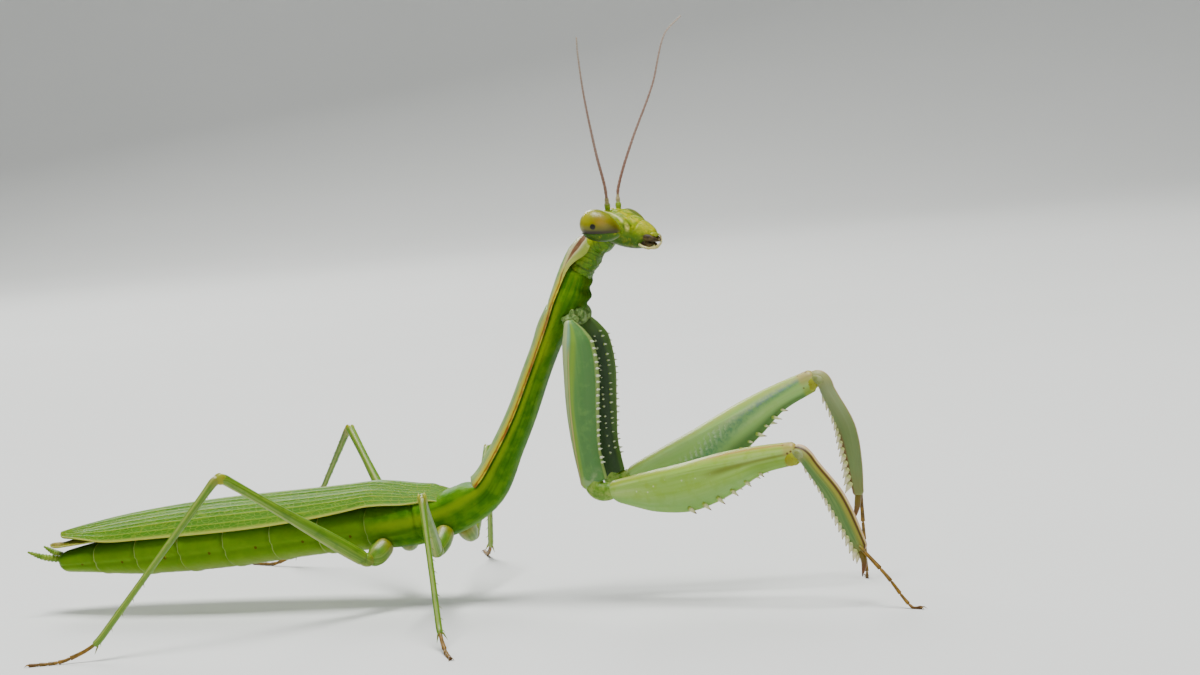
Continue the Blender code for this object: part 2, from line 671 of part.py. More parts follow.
def walking_leg(name, joints):
    """Coxa, femur, tibia and foot share one path, parted by thin cuts at the joints."""
    toe = Vector(joints[-1]) + Vector((0, 0, SOLE))
    ankle = Vector(joints[-2])
    sole = ankle.lerp(toe, 0.5)
    sole.z = SOLE
    path, (hip, knee, heel, _) = jointed([*joints[:-1], sole, toe], WALK_BEND)
    side = 1 if toe.y > 0 else -1
    which, word = name.split("_")
    spans = {"coxa": (0.0, hip), "femur": (hip, knee), "tibia": (knee, heel)}
    for part, (start, end) in spans.items():
        count, gap = (3, 0) if part == "coxa" else (5, GAP)
        rings = limb_rings(path, WALK_SIZE[which][part], (-side, 0, 0), oval(6), count,
                           (start + gap, end))
        rings_object("%s_%s_%s" % (which, part, word), rings, "walking_leg")
    foot("%s_tarsus_%s" % (which, word), path, heel + GAP)


# ---------------------------------------------------------------- assembly

def clear_scene():
    for obj in list(bpy.data.objects):
        bpy.data.objects.remove(obj, do_unlink=True)


def centre_on_origin():
    """Parents every piece to one empty, moved so that the origin is under the middle of the whole."""
    pieces = [obj for obj in bpy.data.objects if obj.type == "MESH"]
    corners = [v.co for obj in pieces if not obj.hide_render for v in obj.data.vertices]
    low = Vector([min(c[i] for c in corners) for i in range(3)])
    high = Vector([max(c[i] for c in corners) for i in range(3)])
    frame = bpy.data.objects.new("model_origin", None)
    bpy.context.scene.collection.objects.link(frame)
    for obj in pieces:
        obj.parent = frame
    frame.location = (-(low.x + high.x) / 2, -(low.y + high.y) / 2, -low.z)


def main():
    clear_scene()
    trunk()
    cerci()
    wings()
    eyes(head_capsule())
    mouthparts()
    palps()
    antennae()
    neck()
    for word, side in SIDES.items():
        foreleg(word, side)
    for name, joints in WALKING.items():
        walking_leg(name, joints)
    centre_on_origin()


main()
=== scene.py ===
# %% [markdown]
# # A praying mantis, as a life-size museum model
# The solids of the animal are packed already: they say where every piece lies and how large it is.
# This notebook dresses them. Each cell makes one part of the body as a surface worked out with
# numpy, and each finish is a small tree of shader nodes. Lengths are in millimetres, in the
# animal's own frame: +X is forward, +Y is its left and +Z is up. They become metres, in the frame of
# the solids, where a mesh is made.

import bpy
import numpy as np
from mathutils import Euler, Matrix, Vector


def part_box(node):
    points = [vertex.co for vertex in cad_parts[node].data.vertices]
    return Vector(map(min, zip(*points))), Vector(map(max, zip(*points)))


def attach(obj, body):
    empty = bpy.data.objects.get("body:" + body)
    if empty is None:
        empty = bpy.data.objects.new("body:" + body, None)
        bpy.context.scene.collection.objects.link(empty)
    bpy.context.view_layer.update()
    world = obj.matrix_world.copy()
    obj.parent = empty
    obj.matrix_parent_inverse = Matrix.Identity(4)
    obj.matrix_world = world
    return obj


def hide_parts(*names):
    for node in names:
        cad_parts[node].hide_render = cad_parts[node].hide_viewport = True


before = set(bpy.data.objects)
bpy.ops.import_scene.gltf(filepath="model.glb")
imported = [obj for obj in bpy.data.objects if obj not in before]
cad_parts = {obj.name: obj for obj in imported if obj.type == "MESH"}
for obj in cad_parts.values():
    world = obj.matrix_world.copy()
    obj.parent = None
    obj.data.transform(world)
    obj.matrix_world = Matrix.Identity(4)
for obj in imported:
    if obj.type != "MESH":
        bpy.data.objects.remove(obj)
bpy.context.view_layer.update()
MM = 0.001
LEFT, RIGHT = 1, -1
SIDES = {"left": LEFT, "right": RIGHT}

# %% [markdown]
# ## The head's place and the frame's shift
# The head has axes of its own: x out of the face, y to the left and z from the mouth to the crown.
# The animal's body line lies at y = 0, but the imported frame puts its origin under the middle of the
# whole box. The two eyes are balls, so the middle of their boxes is a point known in both frames,
# and the difference between them is the shift.

# %% Find the shift from the eyes
HEAD_CENTRE = Vector((13.24, 0.0, 27.31))
HEAD_ANGLES = (np.radians(-10.5), np.radians(-68), np.radians(1.1))
EYE_X, EYE_OUT, EYE_Z = -0.08, 2.35, 0.1
head_turn = Euler(HEAD_ANGLES, "XYZ").to_matrix()
between_eyes = HEAD_CENTRE + head_turn @ Vector((EYE_X, 0, EYE_Z))
corners = [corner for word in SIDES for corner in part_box("eye_" + word)]
SHIFT = np.array(sum(corners, Vector()) / len(corners) - between_eyes * MM)
HEAD_TURN = np.array(head_turn)
print("shift in mm:", (SHIFT / MM).round(3))


def from_head(points):
    """Head axes to the animal's frame: turn, then add the head's centre."""
    return np.asarray(points, float) @ HEAD_TURN.T + np.array(HEAD_CENTRE)


# %% [markdown]
# ## Curves
# Limbs, feelers and the trunk are all profiles carried along a line. The line is a smooth curve
# through a few joints, and sizes along it are smooth curves through a few knots. One cubic serves
# for both: it is the usual choice, because it passes through every knot and needs no solving. Steps
# and bells shape everything smaller, because they can be added up without leaving an edge.

# %% Smooth curves through knots
def smooth(knots, places):
    """Values at places through (place, value) knots.

    Between two knots the curve is a cubic; its slope at a knot is that of the line that joins the
    knots on both sides, and places outside the knots keep the last value.
    """
    at = np.array([place for place, _ in knots], float)
    values = np.array([np.atleast_1d(value) for _, value in knots], float)
    order = np.arange(len(at))
    before, after = np.maximum(order - 1, 0), np.minimum(order + 1, len(at) - 1)
    slopes = (values[after] - values[before]) / (at[after] - at[before])[:, None]
    places = np.clip(np.asarray(places, float).ravel(), at[0], at[-1])
    k = np.clip(np.searchsorted(at, places, side="right") - 1, 0, len(at) - 2)
    span = (at[k + 1] - at[k])[:, None]
    f = (places - at[k])[:, None] / span
    return (values[k] * (2 * f**3 - 3 * f**2 + 1) + slopes[k] * span * (f**3 - 2 * f**2 + f)
            + values[k + 1] * (3 * f**2 - 2 * f**3) + slopes[k + 1] * span * (f**3 - f**2))


def columns(knots, places):
    """The same values, one column for each number of a knot, to spread over the points of rings."""
    return [row[:, None] for row in smooth(knots, places).T]


def step(values, start, end):
    """0 at start, 1 at end, and 3f^2 - 2f^3 of the share f between them; it falls with the values
    if start is the higher."""
    f = np.clip((np.asarray(values, float) - start) / (end - start), 0, 1)
    return f * f * (3 - 2 * f)


def bump(values, middle, width):
    """A bell: e to the minus square of the distance from the middle over the width."""
    return np.exp(-((np.asarray(values, float) - middle) / width) ** 2)


print("a smooth hill through 0, 1 and 0:", smooth(((0, 0), (1, 1), (2, 0)), (0, 0.5, 1, 1.5, 2))[:, 0])

# %% [markdown]
# ### Lines and bends
# A spine stands at a distance along its limb, so a line is measured in millimetres from its start.
# A limb bends at its joints, and a sharp corner would pinch the skin there, so the corners of a
# jointed line are rounded.

# %% Lines and bends
class Line:
    """A smooth line through points, measured by the distance along its straight chords."""

    def __init__(self, points):
        self.points = np.array(points, float)
        chords = np.linalg.norm(np.diff(self.points, axis=0), axis=1)
        self.places = np.concatenate([[0.0], np.cumsum(chords)])
        self.length = self.places[-1]
        self.knots = list(zip(self.places, self.points))

    def along(self, places):
        """Unit directions: the difference of two points a hundredth of a millimetre either side."""
        apart = 0.01
        near = np.clip(np.asarray(places, float), apart, self.length - apart)
        ahead = smooth(self.knots, near + apart) - smooth(self.knots, near - apart)
        return ahead / np.linalg.norm(ahead, axis=1, keepdims=True)

    def at(self, places):
        """Points on the line, which runs straight on past both ends."""
        places = np.asarray(places, float)
        past = places - np.clip(places, 0, self.length)
        return smooth(self.knots, places) + self.along(places) * past[:, None]

    def across(self, places, hint):
        """Sideways and upward directions: the hint with its part along the line taken off, then
        the cross product of the line's direction and that side."""
        along = self.along(places)
        side = hint - along * (along @ np.asarray(hint, float))[:, None]
        side /= np.linalg.norm(side, axis=1, keepdims=True)
        return side, np.cross(along, side)


def jointed(points, bend, bows=()):
    """A line through joints, with the distances along it of the joints' middles.

    Corners are rounded by a parabola that starts and ends bend away from the joint, and each bow
    pushes the middle of one stretch sideways.
    """
    points = np.array(points, float)
    route, corners = [points[0]], []
    for k in range(1, len(points)):
        if k <= len(bows):
            route.append((points[k - 1] + points[k]) / 2 + np.array(bows[k - 1]))
        if k == len(points) - 1:
            route.append(points[k])
            break
        unit = [(p - points[k]) / np.linalg.norm(p - points[k]) for p in (points[k - 1], points[k + 1])]
        start, end = (points[k] + u * bend for u in unit)
        corners.append(len(route) + 2)
        for f in (0.0, 0.25, 0.5, 0.75, 1.0):
            route.append(start * (1 - f) ** 2 + points[k] * (2 * f * (1 - f)) + end * f * f)
    line = Line(route)
    return line, [line.places[k] for k in corners]


elbow, middles = jointed(((0, 0, 0), (10, 0, 0), (10, 0, 10)), 2.0)
print("two parts of 10 mm with a rounded corner: %.1f mm long, bent at %.1f mm" % (elbow.length, middles[0]))

# %% [markdown]
# ## Surfaces
# A grid of points whose rows are rings makes a tube, and a pole at each end closes it. Every point
# also keeps its place on the piece: how far along it lies, and where it lies on its ring. The
# finishes read that to run stripes and rows of dots along a limb, which no texture in plain space
# could follow round a bend.

# %% Tubes, joined shapes and pieces
class Shape:
    """Points, their places on the piece, and faces of four or three corners."""

    def __init__(self, points, places, quads, triangles):
        self.points, self.places = points, places
        self.quads, self.triangles = quads, triangles
        if self.volume() < 0:
            self.quads, self.triangles = quads[:, ::-1], triangles[:, ::-1]

    def volume(self):
        """Sum over the triangles of the corners' triple product, over six: negative if inside out."""
        halves = np.concatenate([self.triangles, self.quads[:, :3], self.quads[:, [0, 2, 3]]])
        a, b, c = (self.points[halves[:, k]] for k in range(3))
        return (a * np.cross(b, c)).sum() / 6


def tube(grid, places):
    """A closed surface: rows of the grid are rings, and the middle of each end ring is a pole."""
    rows, ring = grid.shape[:2]
    points = np.concatenate([grid.reshape(-1, 3), grid[:1].mean(1), grid[-1:].mean(1)])
    where = np.concatenate([places.reshape(-1, 3), places[:1].mean(1), places[-1:].mean(1)])
    index = np.arange(rows * ring).reshape(rows, ring)
    after = np.roll(index, -1, axis=1)
    quads = np.stack([index[:-1], after[:-1], after[1:], index[1:]], -1).reshape(-1, 4)
    first, last = (np.full(ring, rows * ring + k) for k in (0, 1))
    triangles = np.concatenate([np.stack([after[0], index[0], first], -1),
                                np.stack([index[-1], after[-1], last], -1)])
    return Shape(points, where, quads, triangles)


def join(shapes):
    """One shape from many: the faces' corners are counted on past the points before them."""
    starts = np.cumsum([0] + [len(s.points) for s in shapes])
    joined = Shape.__new__(Shape)
    joined.points = np.concatenate([s.points for s in shapes])
    joined.places = np.concatenate([s.places for s in shapes])
    joined.quads = np.concatenate([s.quads + n for s, n in zip(shapes, starts)])
    joined.triangles = np.concatenate([s.triangles + n for s, n in zip(shapes, starts)])
    return joined


def added(name, data):
    """A new object with this data, in the scene."""
    made = bpy.data.objects.new(name, data)
    bpy.context.scene.collection.objects.link(made)
    return made


def make(name, shapes, finish, nodes=()):
    """Turns shapes into one smooth piece that rides on the body and stands for the given nodes."""
    whole = join(shapes)
    mesh = bpy.data.meshes.new(name)
    mesh.from_pydata((whole.points * MM + SHIFT).tolist(), [],
                     whole.quads.tolist() + whole.triangles.tolist())
    place = mesh.attributes.new("place", "FLOAT_VECTOR", "POINT")
    place.data.foreach_set("vector", whole.places.astype(np.float32).ravel())
    mesh.shade_smooth()
    mesh.materials.append(finish)
    piece = added(name, mesh)
    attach(piece, "root")
    if nodes:
        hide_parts(*nodes)
    print("%-22s %6d faces" % (name, len(mesh.polygons)))


# %% [markdown]
# ### Rings, balls and ends
# Most of the animal is a ring carried along a line or a ball that is stretched and bent. Points lie
# closer together where a shape ends, because the eye sees an outline first where it turns sharply.

# %% Rings, balls and ends
def turn_round(count):
    """Angles of a ring's points, from 0 at the side over the top."""
    return np.arange(count) * 2 * np.pi / count


def oval(angles, power=1.0):
    """A ring of unit half axes; a power under 1 makes its corners squarer."""
    c, s = np.cos(angles), np.sin(angles)
    return np.abs(c) ** power * np.sign(c), np.abs(s) ** power * np.sign(s)


def sweep(line, places, hint, across, up, where):
    """Carries ring profiles along a line: each point is the line's, plus across times the
    sideways direction, plus up times the upward one."""
    side, top = line.across(places, hint)
    grid = line.at(places)[:, None] + across[..., None] * side[:, None] + up[..., None] * top[:, None]
    return tube(grid, where)


def stacked(*axes):
    """Arrays spread to one shape and stacked, so that the last axis holds x, y and z."""
    return np.stack(np.broadcast_arrays(*axes), -1)


def ring_places(along, across, up):
    """The place of every point of a grid: its distance along, and its share across and up."""
    return stacked(np.asarray(along, float)[:, None], across, up)


def ball(centre, radii, turn=np.eye(3), rows=16, ring=20, shape=None):
    """A ball from pole to pole: the ring at angle t has radius sin t and height cos t, and shape may
    change the unit ball before it is stretched, turned and moved."""
    near_pole = 0.04
    t = np.linspace(near_pole, np.pi - near_pole, rows)[:, None]
    a = turn_round(ring)[None]
    unit = stacked(np.sin(t) * np.cos(a), np.sin(t) * np.sin(a), np.cos(t))
    solid = unit if shape is None else shape(unit)
    return tube((solid * radii) @ np.asarray(turn).T + np.asarray(centre), unit)


def spread(start, end, count, ends=(0.4, 0.4)):
    """Distances from start to end that lie closer together within the given length of each end."""
    share = np.linspace(0, np.pi / 2, 7)
    low = start + ends[0] * (1 - np.cos(share))
    high = end - ends[1] * (1 - np.cos(share[::-1]))
    return np.concatenate([low[:-1], np.linspace(low[-1], high[0], count), high[1:]])


def rounded(places, ends=(0.4, 0.4), least=(0.05, 0.05)):
    """Shares of full size that round off both ends like a ball, down to a least share."""
    size = np.ones(len(places))
    for reach, small, gone in ((ends[0], least[0], places - places[0]),
                               (ends[1], least[1], places[-1] - places)):
        f = np.clip(gone / reach, 0, 1)
        size = np.minimum(size, small + (1 - small) * np.sqrt(1 - (1 - f) ** 2))
    return size


print("volume of a round ball: %.2f, of ours: %.2f" % (4 / 3 * np.pi, ball((0, 0, 0), 1.0).volume()))

# %% [markdown]
# ## Shader maths as Python
# A finish is a tree of nodes. Written node by node it is long and hard to read, so one small class
# wraps a socket: adding or multiplying two wires adds the Math node that does it.

# %% Wires
class Wire:
    """A socket whose arithmetic adds Math nodes to its finish."""

    def __init__(self, finish, socket):
        self.finish, self.socket = finish, socket

    def maths(self, operation, *values):
        return self.finish.node("ShaderNodeMath", {"operation": operation}, dict(enumerate(values)))

    def __add__(self, other):
        return self.maths("ADD", self, other)

    def __sub__(self, other):
        return self.maths("SUBTRACT", self, other)

    def __rsub__(self, other):
        return self.maths("SUBTRACT", other, self)

    def __mul__(self, other):
        return self.maths("MULTIPLY", self, other)

    def __truediv__(self, other):
        return self.maths("DIVIDE", self, other)

    def __abs__(self):
        return self.maths("ABSOLUTE", self)

    __radd__, __rmul__ = __add__, __mul__

    def sine(self):
        return self.maths("SINE", self)

    def fraction(self):
        return self.maths("FRACT", self)

    def rise(self, low, high):
        """0 below low, 1 above high and a smooth step between them; it falls if low is the higher."""
        share = self.finish.node("ShaderNodeMapRange", {"interpolation_type": "SMOOTHSTEP"},
                                 {"Value": self, "From Min": min(low, high), "From Max": max(low, high)})
        return share if low < high else 1 - share

    def band(self, middle, width):
        """1 at the middle, falling smoothly to 0 a width away on both sides."""
        return abs(self - middle).rise(width, 0.0)


# %% [markdown]
# ### Colours
# A shader takes colours as shares of light, while people name them as they look on a screen, from 0
# to 255. Each colour is written the second way and worked out once in Python, so no node is spent
# on it.

# %% Colours
RICHER, DEEPER = 1.3, 0.72


def rgb(red, green, blue):
    """A colour from the screen values it should end up with, 0 to 255, by the sRGB curve.

    White light and the soft tone curve of the render wash colours out, so here they're pushed away
    from grey of the same brightness and made deeper.
    """
    share = np.array([red, green, blue]) / 255
    linear = np.where(share > 0.04045, ((share + 0.055) / 1.055) ** 2.4, share / 12.92)
    grey = linear @ (0.2126, 0.7152, 0.0722)
    richer = np.clip(grey + (linear - grey) * RICHER, 0.001, 1.0) * DEEPER
    return (*richer.tolist(), 1.0)


print("leaf green for the shader:", [round(share, 3) for share in rgb(120, 156, 18)])

# %% [markdown]
# ### Finishes
# Colours would turn grey in a Math node, so they are mixed by Mix nodes. A finish is a base colour
# with coats laid over it, each as far as its share says: that is how the real skin is patterned, and
# one coat can be moved or made stronger without touching the others.

# %% Finishes
class Finish:
    """A material on its way: a shader, and short calls for the nodes that feed it.

    Soft is the weight of the light that goes a little way under the skin, and deep its reach in
    millimetres.
    """

    def __init__(self, name, soft=0.0, deep=0.5, specular=0.35, **constants):
        self.material = bpy.data.materials.new(name)
        self.material.use_nodes = True
        self.tree = self.material.node_tree
        self.shader = self.tree.nodes["Principled BSDF"]
        constants.update(subsurface_weight=soft, subsurface_scale=deep * MM)
        for socket, value in constants.items():
            self.shader.inputs[socket.replace("_", " ").title()].default_value = value
        self.shader.inputs["Specular IOR Level"].default_value = specular
        where = self.node("ShaderNodeAttribute", {"attribute_name": "place"}, {}, "Vector")
        self.axes = [self.node("ShaderNodeSeparateXYZ", {}, {"Vector": where}, axis) for axis in "XYZ"]
        self.space = self.scaled(self.node("ShaderNodeTexCoord", {}, {}, "Object"), 1 / MM)

    def node(self, kind, settings, inputs, output=0):
        """Adds a node: its settings first, then the values or links of its sockets."""
        made = self.tree.nodes.new(kind)
        for name, value in settings.items():
            setattr(made, name, value)
        for name, value in inputs.items():
            if isinstance(value, Wire):
                self.tree.links.new(value.socket, made.inputs[name])
            else:
                made.inputs[name].default_value = value
        return Wire(self, made.outputs[output])

    def scaled(self, vector, by):
        """The vector times a number, or times one number for each axis."""
        by = (by, by, by) if isinstance(by, (int, float)) else by
        return self.node("ShaderNodeVectorMath", {"operation": "MULTIPLY"}, {0: vector, 1: by})

    def mix(self, first, second, share):
        """The first colour where the share is 0, the second where it is 1."""
        first, second = (c if isinstance(c, Wire) else rgb(*c) for c in (first, second))
        return self.node("ShaderNodeMix", {"data_type": "RGBA"}, {0: share, 6: first, 7: second}, 2)

    def layers(self, base, *coats):
        """Colours laid one over another: each coat is a colour and the share that it covers."""
        for colour, share in coats:
            base = self.mix(base, colour, share)
        return base

    def noise(self, scale, detail=3, vector=None, roughness=0.55):
        """Cloudy values of 0 to 1, with so many spots to the millimetre."""
        return self.node("ShaderNodeTexNoise", {}, {"Vector": vector or self.space, "Scale": scale,
                                                    "Detail": detail, "Roughness": roughness})

    def streaks(self, along, across, up, detail=4):
        """Clouds drawn out along the piece: noise with so many spots to each unit of the place."""
        place = self.node("ShaderNodeCombineXYZ", {}, dict(zip("XYZ", self.axes)))
        return self.noise(1.0, detail, self.scaled(place, (along, across, up)), 0.5)

    def grains(self, scale, vector=None, feature="F1"):
        """Distance from each point to its nearest grain, or to the nearest edge between grains, with
        so many grains to the millimetre."""
        return self.node("ShaderNodeTexVoronoi", {"feature": feature},
                         {"Vector": vector or self.space, "Scale": scale}, "Distance")

    def done(self, colour, roughness, height=None, depth=0.02):
        """Feeds the shader; height is a relief of the given depth in millimetres."""
        links = [("Base Color", colour), ("Roughness", roughness)]
        if height is not None:
            links.append(("Normal", self.node("ShaderNodeBump", {}, {
                "Height": height, "Distance": depth * MM, "Strength": 1.0})))
        for name, value in links:
            if isinstance(value, Wire):
                self.tree.links.new(value.socket, self.shader.inputs[name])
            else:
                self.shader.inputs[name].default_value = value
        return self.material


# %% [markdown]
# ## Camera, floor and light
# The camera looks at the raised front of the animal from its right, a little ahead of the side and
# just above the floor, through a long lens, and it is rolled by a few degrees. A broad soft lamp
# overhead draws the bright line along every upper edge; a weaker one fills the near side.

# %% Set the stage
AZIMUTH, ELEVATION, ROLL = np.radians((20, 5, 5))
TARGET = SHIFT + np.array((9.629, 4.471, 18.774)) * MM
DISTANCE = 246.9 * MM


def set_camera():
    """A side view turned by the azimuth, raised by the elevation and then rolled."""
    back = np.array((np.sin(AZIMUTH) * np.cos(ELEVATION), -np.cos(AZIMUTH) * np.cos(ELEVATION),
                     np.sin(ELEVATION)))
    level = np.array((np.cos(AZIMUTH), np.sin(AZIMUTH), 0.0))
    upright = np.cross(back, level)
    right = level * np.cos(ROLL) - upright * np.sin(ROLL)
    up = upright * np.cos(ROLL) + level * np.sin(ROLL)
    data = bpy.data.cameras.new("camera")
    data.lens, data.sensor_width = 100, 36
    data.clip_start, data.clip_end = 0.01, 10
    camera = added("camera", data)
    matrix = Matrix(np.column_stack([right, up, back]).tolist()).to_4x4()
    matrix.translation = Vector(TARGET + back * DISTANCE)
    camera.matrix_world = matrix
    bpy.context.scene.camera = camera


def lamp(name, offset, size, watts):
    """A square soft lamp at an offset in metres from the target, turned to it."""
    data = bpy.data.lights.new(name, "AREA")
    data.size, data.energy = size, watts
    obj = added(name, data)
    obj.location = TARGET + np.array(offset)
    obj.rotation_euler = Vector(-np.array(offset)).to_track_quat("-Z", "Y").to_euler()


def floor():
    """A wide pale sheet that curves up behind the animal: a quarter circle between two flats."""
    reach, half_width, curve_start, radius = 0.9, 1.4, 0.45, 0.25
    angle = np.linspace(0, np.pi / 2, 16)
    out = np.concatenate([[-reach], curve_start + radius * np.sin(angle), [curve_start + radius]])
    high = np.concatenate([[0.0], radius * (1 - np.cos(angle)), [reach]])
    grid = stacked(np.array((-half_width, half_width)), out[:, None], high[:, None])
    heading = np.array([[np.cos(AZIMUTH), -np.sin(AZIMUTH)], [np.sin(AZIMUTH), np.cos(AZIMUTH)]])
    grid[..., :2] = grid[..., :2] @ heading.T
    rows, columns = grid.shape[:2]
    index = np.arange(rows * columns).reshape(rows, columns)
    quads = np.stack([index[:-1, :-1], index[:-1, 1:], index[1:, 1:], index[1:, :-1]], -1).reshape(-1, 4)
    mesh = bpy.data.meshes.new("floor")
    mesh.from_pydata(grid.reshape(-1, 3).tolist(), [], quads.tolist())
    mesh.shade_smooth()
    paper = Finish("paper")
    tone = paper.mix((246, 248, 244), (252, 253, 250), paper.noise(0.02, 2))
    mesh.materials.append(paper.done(tone, 0.9))
    added("floor", mesh)


set_camera()
floor()
lamp("overhead", (0.0, -0.04, 0.45), 0.22, 4.0)
lamp("near_fill", (0.25, -0.45, 0.12), 0.35, 0.7)
lamp("far_rim", (-0.25, 0.35, 0.25), 0.20, 1.6)
world = bpy.data.worlds.new("studio")
world.use_nodes = True
world.node_tree.nodes["Background"].inputs["Color"].default_value = (0.86, 0.90, 0.95, 1)
world.node_tree.nodes["Background"].inputs["Strength"].default_value = 0.16
bpy.context.scene.world = world
print("camera at", [round(v / MM) for v in bpy.context.scene.camera.location], "mm")

# %% [markdown]
# ## The head
# A mantis has a triangular head: two great eyes at its upper corners, three tiny simple eyes on the
# crown, a raised shield between the feelers' sockets, and below it the plate of the face, the
# upper lip and the jaws. The capsule could be sculpted by hand. Here it is a stack of ovals from
# the mouth to the crown, and every ridge and groove is a bell-shaped term added along the normal,
# so each stays a number that can be changed.

# %% Finishes of the head
TAN, BARK, INK = (158, 126, 62), (92, 60, 24), (14, 10, 6)


def head_finish():
    """Lime skin, mottled and pitted, with painted highlights on the ridges and patches beside the face,
    yellow towards the mouth and dark green behind, darkest as painted shade under each eye's welt."""
    skin = Finish("head_skin", soft=0.15, deep=0.6, specular=0.18)
    along, across, up = skin.axes
    cloud, fine = skin.noise(1.3, 4), skin.noise(4.0, 3)
    grain = skin.grains(7.5)
    out = abs(across)
    front = up.rise(0.0, 0.3)
    # Painted highlights: a pale line along each ridge beside the face and a pale patch on each cheek
    ridge = (out - 1.2).band(0.04, 0.11) * along.rise(-1.2, -0.9) * along.rise(1.2, 0.8) * front
    cheek_highlight = (out - 1.18).band(0.0, 0.14) * (along + 1.6).band(0.08, 0.42) * front
    base = skin.layers(
        (92, 126, 10), ((156, 172, 8), up.rise(-0.35, 0.45) * 0.85),
        ((200, 194, 16), cloud.rise(0.5, 0.64) * 0.8), ((100, 130, 2), fine.rise(0.5, 0.66) * 0.7),
        ((222, 230, 70), fine.rise(0.42, 0.3) * up.rise(0.0, 0.5) * 0.55),
        ((196, 190, 30), along.rise(-1.5, -2.6) * up.rise(0.0, 0.5) * 0.4),
        ((56, 84, 8), up.rise(0.05, -0.7) * 0.75), ((96, 112, 10), out.rise(1.4, 1.9) * 0.6),
        ((58, 84, 4), cloud.rise(0.44, 0.3) * 0.7),
        ((206, 220, 100), grain.rise(0.28, 0.12) * 0.4),
        # Painted shade: the darkest green, on the back of the head and under each eye's welt
        ((36, 58, 2), up.rise(-0.75, -1.1) * 0.9), ((240, 240, 180), ridge * 0.9),
        ((248, 242, 160), cheek_highlight * (fine.rise(0.35, 0.55) * 0.7 + 0.3)),
        ((70, 56, 24), along.rise(-2.45, -3.0) * up.rise(0.35, 0.1) * fine.rise(0.3, 0.6) * 0.9))
    return skin.done(base, 0.34 + cloud * 0.12, grain.rise(0.1, 0.4) * 0.4 + fine * 0.8, 0.03)


# The welt behind an eye ends where, in shares of the eye's radii, the way out of the face is the
# depth, less the slope times the height, plus the bow times the height's square
RIM_DEPTH, RIM_SLOPE, RIM_BOW = -0.5, 0.4, 0.16


def eye_finish():
    """A compound eye: fine facets over lime, amber and olive, with painted shade that darkens towards
    the groove along its lower edge, where the welt meets it, and a dark spot where the facets are seen
    end on. The side towards the other eye is greyish."""
    eye = Finish("eye_shell", coat_weight=0.05, coat_roughness=0.34, soft=0.1, deep=0.4)
    # A ball's place is its unit vector: along is out of the face, across is outwards, up to the crown
    face, out, crown = eye.axes
    above = face + crown * RIM_SLOPE - crown * crown * RIM_BOW - RIM_DEPTH
    amber = (crown + 0.12).band(0.0, 0.6) * (face - 0.35).band(0.05, 0.6)
    facets = eye.grains(20).rise(0.25, 0.45)
    spot = (crown - 0.125).band(0.0, 0.2) * (face + 0.05).band(0.0, 0.26) * out.rise(0.5, 0.6)
    base = eye.layers(
        (140, 142, 18), ((178, 174, 40), crown.rise(0.1, 0.75) * 0.8),
        ((168, 128, 48), amber * 0.6), ((100, 90, 16), crown.rise(-0.3, -0.9) * 0.8),
        # Painted shade: olive darkening above the welt's line, and a dark line in the groove along it
        ((84, 78, 10), above.rise(0.8, 0.1) * crown.rise(1.0, 0.5) * 0.75),
        ((36, 26, 4), above.rise(0.36, 0.1) * crown.rise(0.85, 0.45) * 0.95),
        ((80, 76, 14), facets * crown.rise(0.0, -0.8) * 0.5),
        ((134, 142, 22), out.rise(0.5, 0.1) * 0.75), ((98, 114, 60), out.rise(0.15, -0.3) * 0.9),
        (INK, spot.rise(0.06, 0.4)))
    return eye.done(base, 0.32, eye.grains(22), 0.006)


def plain_skin(name, light, dark, spots, scale=2.5, roughness=0.42, depth=0.012):
    """A clouded skin for small parts: light and dark tones with fine spots."""
    skin = Finish(name, soft=0.12, deep=0.4)
    cloud = skin.noise(scale, 4)
    base = skin.layers(dark, (light, cloud.rise(0.35, 0.65)),
                       (spots, skin.grains(scale * 4).rise(0.22, 0.08) * 0.6))
    return skin.done(base, roughness + cloud * 0.1, skin.noise(scale * 5, 3), depth)


HEAD_SKIN = head_finish()
EYE_SHELL = eye_finish()
JAW_SKIN = plain_skin("jaw_skin", (104, 92, 56), (46, 34, 14), (28, 18, 8), 2.5, 0.55)
PALP_SKIN = plain_skin("palp_skin", (228, 226, 180), (200, 196, 134), (160, 140, 92))
print("finishes:", [skin.name for skin in (HEAD_SKIN, EYE_SHELL, JAW_SKIN, PALP_SKIN)])

# %% [markdown]
# ### The capsule of the head
# Its outline from the front is a rounded triangle, wide at the eyes and narrow at the mouth.

# %% Shape the head's capsule
# Height towards the crown: half width, half thickness, shift out of the face
CAPSULE = ((-3.25, (0.44, 0.5, 0.12)), (-2.7, (0.7, 0.85, 0.0)), (-2.0, (1.0, 1.08, -0.06)),
           (-1.1, (1.45, 1.2, -0.1)), (-0.2, (1.88, 1.2, -0.08)), (0.6, (1.9, 1.02, -0.03)),
           (1.12, (1.5, 0.75, 0.0)))
SOCKET = (0.82, 0.55)       # a feeler's socket: out to the side, and up towards the crown


